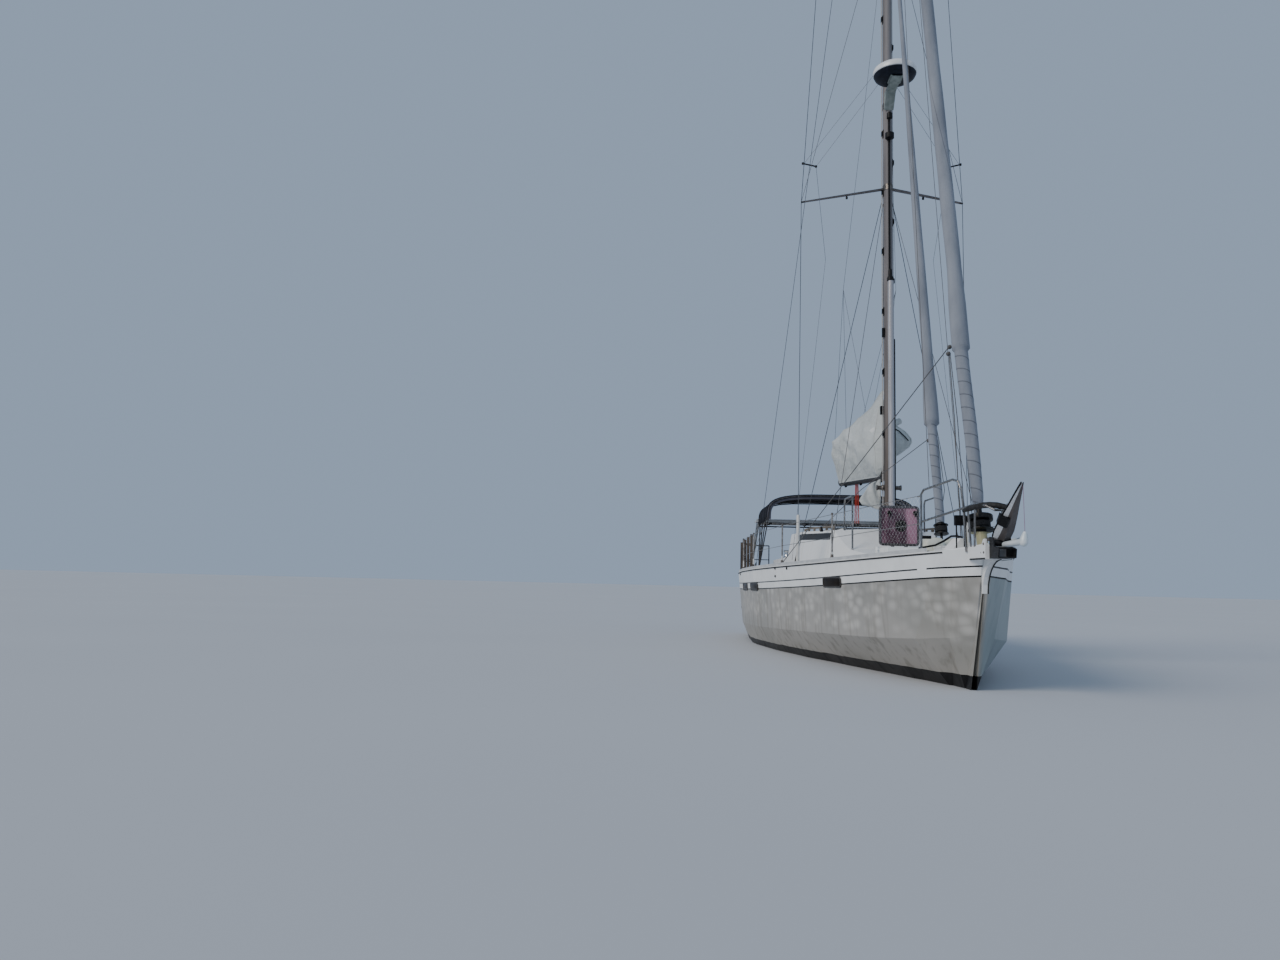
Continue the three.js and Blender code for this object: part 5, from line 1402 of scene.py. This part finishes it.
# Mainsheet and kicker
# A red rope tackle from the boom's middle down to the roof, and a sprung strut with its foot on
# the mast that holds the boom down.
red_rope = mottled(
    "red_rope", (0.26, 0.012, 0.006), (0.42, 0.035, 0.015), (70, (0.9, 0.0, 0.0), 1.0),
    kind=Finish.wave, roughness=0.8,
)
SHEET_X = -1.28
sheet_foot = on_roof(SHEET_X, 0)
sheet_head = boom_z(SHEET_X) - 0.09
fall = boom_z(SHEET_X) - 0.22 - sheet_foot
mainsheet = Shape()
for high_y, low_y in ((-0.020, -0.035), (0.020, 0.035), (0.0, 0.0)):
    mainsheet.tube([
        (SHEET_X, high_y + (low_y - high_y) * k / 12, sheet_head - fall * k / 12) for k in range(13)
    ], 0.009)
mainsheet_piece = mainsheet.make("mainsheet_tackle", red_rope, None)
boom_z(SHEET_X) - 0.10
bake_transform(mainsheet_piece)
traveller = Shape()
traveller.block((SHEET_X - 0.02, -0.46, sheet_foot + 0.075), (SHEET_X + 0.02, 0.46, sheet_foot + 0.098))
for y in (-0.44, 0.44):
    low = on_roof(SHEET_X, y) - 0.002
    traveller.block((SHEET_X - 0.03, y - 0.02, low), (SHEET_X + 0.03, y + 0.02, sheet_foot + 0.076))
traveller.block((SHEET_X - 0.035, -0.05, sheet_foot + 0.098), (SHEET_X + 0.035, 0.05, sheet_foot + 0.140))
traveller.make("mainsheet_traveller", black_plastic)
KNEE = (0.45, 0, 2.50)
kicker = Shape()
kicker.tube([(1.20, 0, 2.14), KNEE], 0.022, 14)
kicker.tube([KNEE, (-0.09, 0, boom_z(-0.09) - BOOM_HALF_DEPTH)], 0.015, 12)
kicker.tube([(PIN_X, 0, 2.10), (PIN_X, 0, 2.18)], 0.028, 14)
kicker.block((-0.14, -0.015, boom_z(-0.1) - 0.12), (-0.04, 0.015, boom_z(-0.1) - 0.06))
kicker.make("boom_kicker", pole_grey, "boom")


# Cloth bag at the mast
# A white canvas bag for rope tails, laced up the mast's aft edge and slack at its outer side.
tail_bag = Shape()
rings = []
for i in range(15):
    t = i / 14
    inner = Vector((1.16, -0.082, 2.765 - 0.487 * t))
    reach = 0.05 + 0.31 * (t ** 0.65) if t < 0.85 else 0.33 - 0.35 * (t - 0.85)
    ring = []
    for k in range(13):
        f = k / 12
        ripple = 0.030 * math.sin(9 * t + 7 * f) * math.sin(math.pi * f)
        lift = 0.095 * f * t + 0.012 * math.sin(12 * t + 5 * f) * f
        ring.append(inner + Vector((-0.06 * f + ripple, -reach * f, lift)))
    rings.append(ring)
tail_bag.skin(rings, closed=False, ends=False)
tail_bag_piece = tail_bag.make("rope_tail_bag", bag_canvas, sharp=80)
tail_cloth = tail_bag_piece.modifiers.new("cloth", "SOLIDIFY")
tail_cloth.thickness = 0.002


# Bimini
# One dark navy canvas, cut in three panels with taped seams, stretched over four steel bows and
# laced to the end ones. It dips between the bows and its hems are turned over a rope.
navy = Finish("navy_canvas", specular_ior_level=0.15)
faded = navy.noise(1.8, 4).ease(0.3, 0.75)
warp = navy.wave(480, (0, 0, 0)) * navy.wave(480, (0, 0, math.pi / 2))
cloth_blue = navy.mix(faded, (0.010, 0.011, 0.016), (0.022, 0.025, 0.034))
navy.set(base_color=navy.mix(warp * 0.2, cloth_blue, (0.045, 0.048, 0.06)))
navy.set(roughness=0.86 + 0.1 * faded)
navy.bump(warp * 0.1 + faded, 0.004)
BIMINI = {"aft": -4.84, "fore": -3.0, "low": 2.40, "half": 1.46, "rise": 0.505}
BIMINI_RUN = BIMINI["aft"] - BIMINI["fore"]
BOWS = (-3.03, -3.60, -4.19, -4.81)


def arch_at(turn, inset):
    y = (BIMINI["half"] - inset) * math.copysign(math.sqrt(abs(math.cos(turn))), math.cos(turn))
    z = BIMINI["low"] + (BIMINI["rise"] - inset) * math.sqrt(max(0, math.sin(turn)))
    return y, z


def canopy_dip(x):
    for fore, aft in zip(BOWS, BOWS[1:]):
        if aft <= x <= fore:
            return math.sin(math.pi * (fore - x) / (fore - aft)) ** 2
    return 0


canopy = Shape()
rings = []
TURNS = 64
for i in range(41):
    x = BIMINI["fore"] + BIMINI_RUN * i / 40
    dip = 0.020 * canopy_dip(x)
    ring = []
    for k in range(TURNS + 1):
        turn = math.pi * k / TURNS
        y, z = arch_at(turn, 0.004)
        ripple = 0.003 * math.sin(40 * x + 3 * y) * abs(math.cos(turn))
        ring.append((x, y * (1 - 0.012 * canopy_dip(x)), z - dip * math.sin(turn) + ripple))
    rings.append(ring)
canopy.skin(rings, closed=False, ends=False)
canopy_piece = canopy.make("bimini_cloth", navy, sharp=80)
thickness = canopy_piece.modifiers.new("cloth", "SOLIDIFY")
thickness.thickness = 0.003
thickness.offset = -1
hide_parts("bimini_canopy")
canopy_hems = Shape()
tape = mottled(
    "canopy_tape", (0.008, 0.009, 0.013), (0.024, 0.026, 0.034), (80, (0, 0, 0.3)),
    kind=Finish.wave, roughness=0.9, specular_ior_level=0.1,
)
for x in (BIMINI["fore"] + 0.004, BIMINI["aft"] + 0.004):
    canopy_hems.tube([(x, *arch_at(math.pi * k / 48, 0.002)) for k in range(49)], 0.011, 8)
for turn in (0, math.pi):
    canopy_hems.tube([
        (BIMINI["fore"] + BIMINI_RUN * i / 12, *arch_at(turn, 0.002)) for i in range(13)
    ], 0.011)
for x in BOWS[1:3]:
    rings = []
    for k in range(49):
        y, z = arch_at(math.pi * k / 48, -0.001)
        under = (y * 0.998, z - 0.003)
        rings.append([(x - 0.02, y, z), (x + 0.02, y, z), (x + 0.02, *under), (x - 0.02, *under)])
    canopy_hems.skin(rings)
hems_piece = canopy_hems.make("bimini_hems_and_tapes", tape)
# Painted light: the fore band, the lit outer face of the same navy canvas, is coloured much lighter than the
# canopy.
lit_front_canvas = mottled(
    "bimini_front_painted_light", (0.085, 0.088, 0.115), (0.13, 0.132, 0.160), (3, 4), (0.3, 0.7),
    specular_ior_level=0.15,
)
valance = Shape()
FORE_EDGE = BIMINI["fore"] + 0.010
BAND_ROWS = ((0, 0.004), (0.004, 0.045), (0, 0.085))
valance.skin([
    [(FORE_EDGE + out, *arch_at(math.pi * k / TURNS, inset)) for out, inset in BAND_ROWS]
    for k in range(TURNS + 1)
], closed=False, ends=False)
band_piece = valance.make("bimini_fore_band", lit_front_canvas, sharp=80)
# The bimini's steel bows are coloured near black all over.
near_black_bow_tube = mottled(
    "dark_canopy_tube", (0.018, 0.018, 0.022), (0.06, 0.058, 0.062), (16, 4), (0.35, 0.7),
    specular_ior_level=0.3,
)
dress(near_black_bow_tube, "bimini_frame")
frame_joints = Shape()
for _, side in SIDES:
    foot = Vector((-4.25, side * 1.5, deck_z(-4.25, 1.5)))
    flange = [(0.045, 0), (0.045, 0.006), (0.022, 0.012), (0.018, 0.05), (0, 0.052)]
    frame_joints.turned(flange, foot, sides=20)
    for x in BOWS:
        y, z = arch_at(0, 0.03)
        frame_joints.tube([(x, side * y, z - 0.012), (x, side * y, z + 0.05)], 0.018, 12)
    for stay in (((-3.03, 1.43, 2.50), (-2.40, 1.86, 1.42)), ((-4.81, 1.43, 2.50), (-5.25, 1.62, 1.37))):
        frame_joints.tube([(x, side * y, z) for x, y, z in stay], 0.004, 6)
frame_joints.make("bimini_joints_and_stays", dark_steel)


# Solar panel
# Dark cells under glass in a thin anodised frame, clamped on the stern arch.
solar = Finish("solar_cells", specular_ior_level=0.3)
CELL = 0.156
grid = [
    (((axis / CELL).math("FRACT") - 0.5).math("ABSOLUTE") > 0.475)
    for axis in (solar.x, solar.y)
]
bus = (((solar.x / (CELL / 3)).math("FRACT") - 0.5).math("ABSOLUTE") > 0.49)
cell_tone = solar.noise(2.2, 3).ease(0.3, 0.7)
cells = solar.mix(cell_tone, (0.006, 0.009, 0.020), (0.014, 0.019, 0.040))
cells = solar.mix(bus * 0.4, cells, (0.30, 0.31, 0.33))
under = solar.node("SeparateXYZ", sockets={0: solar.node("NewGeometry", output="Normal")}, output=2) < -0.5
topside = solar.mix(grid[0].math("MAXIMUM", grid[1]), cells, (0.16, 0.17, 0.19))
solar.set(base_color=solar.mix(under, topside, solar.mix(cell_tone, (0.40, 0.41, 0.47), (0.50, 0.51, 0.57))))
solar.set(roughness=0.10 + 0.10 * cell_tone)
dress(solar, "solar_panel")
panel_frame = Shape()
(x0, y0, z0), (x1, y1, z1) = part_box("solar_panel")
LAP, WIDTH = 0.004, 0.028
along = (x0 - LAP, x1 + LAP)
across = (y0 - LAP, y1 + LAP)
for (aft, fore), (right, left) in (
    ((along[0], x0 + WIDTH), across),
    ((x1 - WIDTH, along[1]), across),
    (along, (across[0], y0 + WIDTH)),
    (along, (y1 - WIDTH, across[1])),
    (along, (-0.02, 0.02)),
):
    panel_frame.block((aft, right, z0 + 0.001), (fore, left, z1 + 0.003))
panel_frame.block((along[1], across[0], z0 - 0.012), (x1 + 0.008, across[1], z1 + 0.022))
panel_frame.make("solar_panel_frame", anodised)
ARCH_AFT, ARCH_FORE = -5.32, -4.92
clamps = Shape()
for y in (-1.2, -0.4, 0.4, 1.2):
    for x in (ARCH_AFT, ARCH_FORE):
        clamps.tube([(x, y - 0.03, 2.45), (x, y + 0.03, 2.45)], 0.027, 14)
clamps.tube([(ARCH_FORE, -1.44, 2.37), (ARCH_FORE, 1.44, 2.37)], 0.014, 10)
for y in (-1.3, -0.45, 0.45, 1.3):
    clamps.tube([(ARCH_FORE, y, 2.365), (ARCH_FORE, y, 2.44)], 0.010)
clamps.make("panel_clamps_and_bar", black_plastic)


# Pushpit boards
# Upright teak slats lashed to the rails of both quarters, weathered dark on their outer faces.
weathered = mottled(
    "weathered_teak", (0.035, 0.027, 0.023), (0.13, 0.105, 0.085), (9, 5, (2.5, 2.5, 0.2)), (0.3, 0.72),
    relief=0.003, roughness=0.8,
)
boards = Shape()
RAIL_SLATS, END_SLATS = 8, 4
for _, side in SIDES:
    for i in range(RAIL_SLATS):
        t = (i + 0.5) / RAIL_SLATS
        x, y = -4.72 - 1.16 * t, side * (1.812 - 0.15 * t)
        low, high = sorted((y - side * 0.020, y))
        boards.block((x - 0.055, low, 1.40), (x + 0.055, high, 2.10 - 0.14 * t))
    for i in range(END_SLATS):
        y = side * (1.63 + 0.068 * i)
        boards.block((-4.63, y - 0.029, 1.39), (-4.61, y + 0.029, 2.18 - 0.06 * i))
    for z in (1.97, 1.60):
        boards.tube([(-4.655, side * 1.60, z), (-4.655, side * 1.86, z)], 0.012)
boards.make("pushpit_slats", weathered)


# Cockpit
# The wheel stands behind a pedestal with a compass in a clear dome. The winches are turned from
# bronze and chromed, and the wheel's rim is bound in leather.
chrome = mottled(
    "chromed_bronze", (0.62, 0.63, 0.64), (0.74, 0.75, 0.76), (50, 4), (0.35, 0.75),
    (0.08, 0.16), metallic=1.0,
)
WINCH = (
    (0.078, 0), (0.078, 0.018), (0.060, 0.030), (0.052, 0.050), (0.052, 0.108), (0.068, 0.128),
    (0.072, 0.140), (0.060, 0.150), (0.030, 0.151), (0.0, 0.149),
)
for name, side in SIDES:
    drum = Shape().turned(WINCH, (-3.1, side * 1.04, 1.6403), sides=40)
    winch_piece = drum.make(f"cockpit_winch_{name}", chrome)
    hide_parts(f"winch_{name}")
leather = mottled(
    "wheel_leather", (0.030, 0.022, 0.018), (0.075, 0.055, 0.042), (180, (1, 1, 1), "F1"), (0.1, 0.7),
    relief=0.001, kind=Finish.cells, roughness=0.6,
)
WHEEL = {"x": -4.56, "z": 1.86, "radius": 0.43}
circle = [
    (WHEEL["x"], WHEEL["radius"] * math.cos(t), WHEEL["z"] + WHEEL["radius"] * math.sin(t))
    for t in [*around(72), 2 * math.pi]
]
Shape().tube(circle, 0.0165, 12).make("wheel_rim_leather", leather, "helm")
COMPASS = (-4.395, 0, 1.949)
BOWL = ((0.085, 0), (0.088, 0.01), (0.082, 0.03), (0.065, 0.045), (0.064, 0.05))
Shape().turned(BOWL, COMPASS, sides=32).make("compass_bowl", black_plastic)
GLASS = ((0.064, 0.044), (0.060, 0.066), (0.045, 0.086), (0.022, 0.097), (0.0, 0.1))
Shape().turned(GLASS, COMPASS, sides=28).make("compass_dome", smoked)
hasps = Shape()
for _, side in SIDES:
    for x in (-4.0, -3.5):
        hasps.block((x - 0.03, side * 0.91 - 0.02, 1.396), (x + 0.03, side * 0.91 + 0.004, 1.4215))
    hasps.turned([(0.02, 0), (0.02, 0.004), (0.0, 0.006)], (-3.75, side * 0.50, 1.418), sides=16)
hasps.make("locker_hasps", dark_steel)


# Below and under water
# The engine is a painted casting. The rudder and centreboard are welded plate under antifouling,
# and the propeller is cast bronze on a bronze shaft.
engine_paint = mottled(
    "engine_paint", (0.20, 0.23, 0.24), (0.10, 0.11, 0.11), (8, 5), (0.35, 0.75), roughness=0.5,
)
dress(engine_paint, "engine")
antifouling = mottled(
    "antifouling", (0.016, 0.016, 0.018), (0.05, 0.052, 0.055), (3, 5), (0.35, 0.75),
    relief=0.003, roughness=0.85,
)
dress(antifouling, "rudder", "centreboard")
bronze = mottled(
    "cast_bronze", (0.55, 0.38, 0.16), (0.20, 0.20, 0.13), (14, 5), (0.45, 0.75),
    (0.3, 0.35), metallic=1.0,
)
dress(bronze, "propeller")
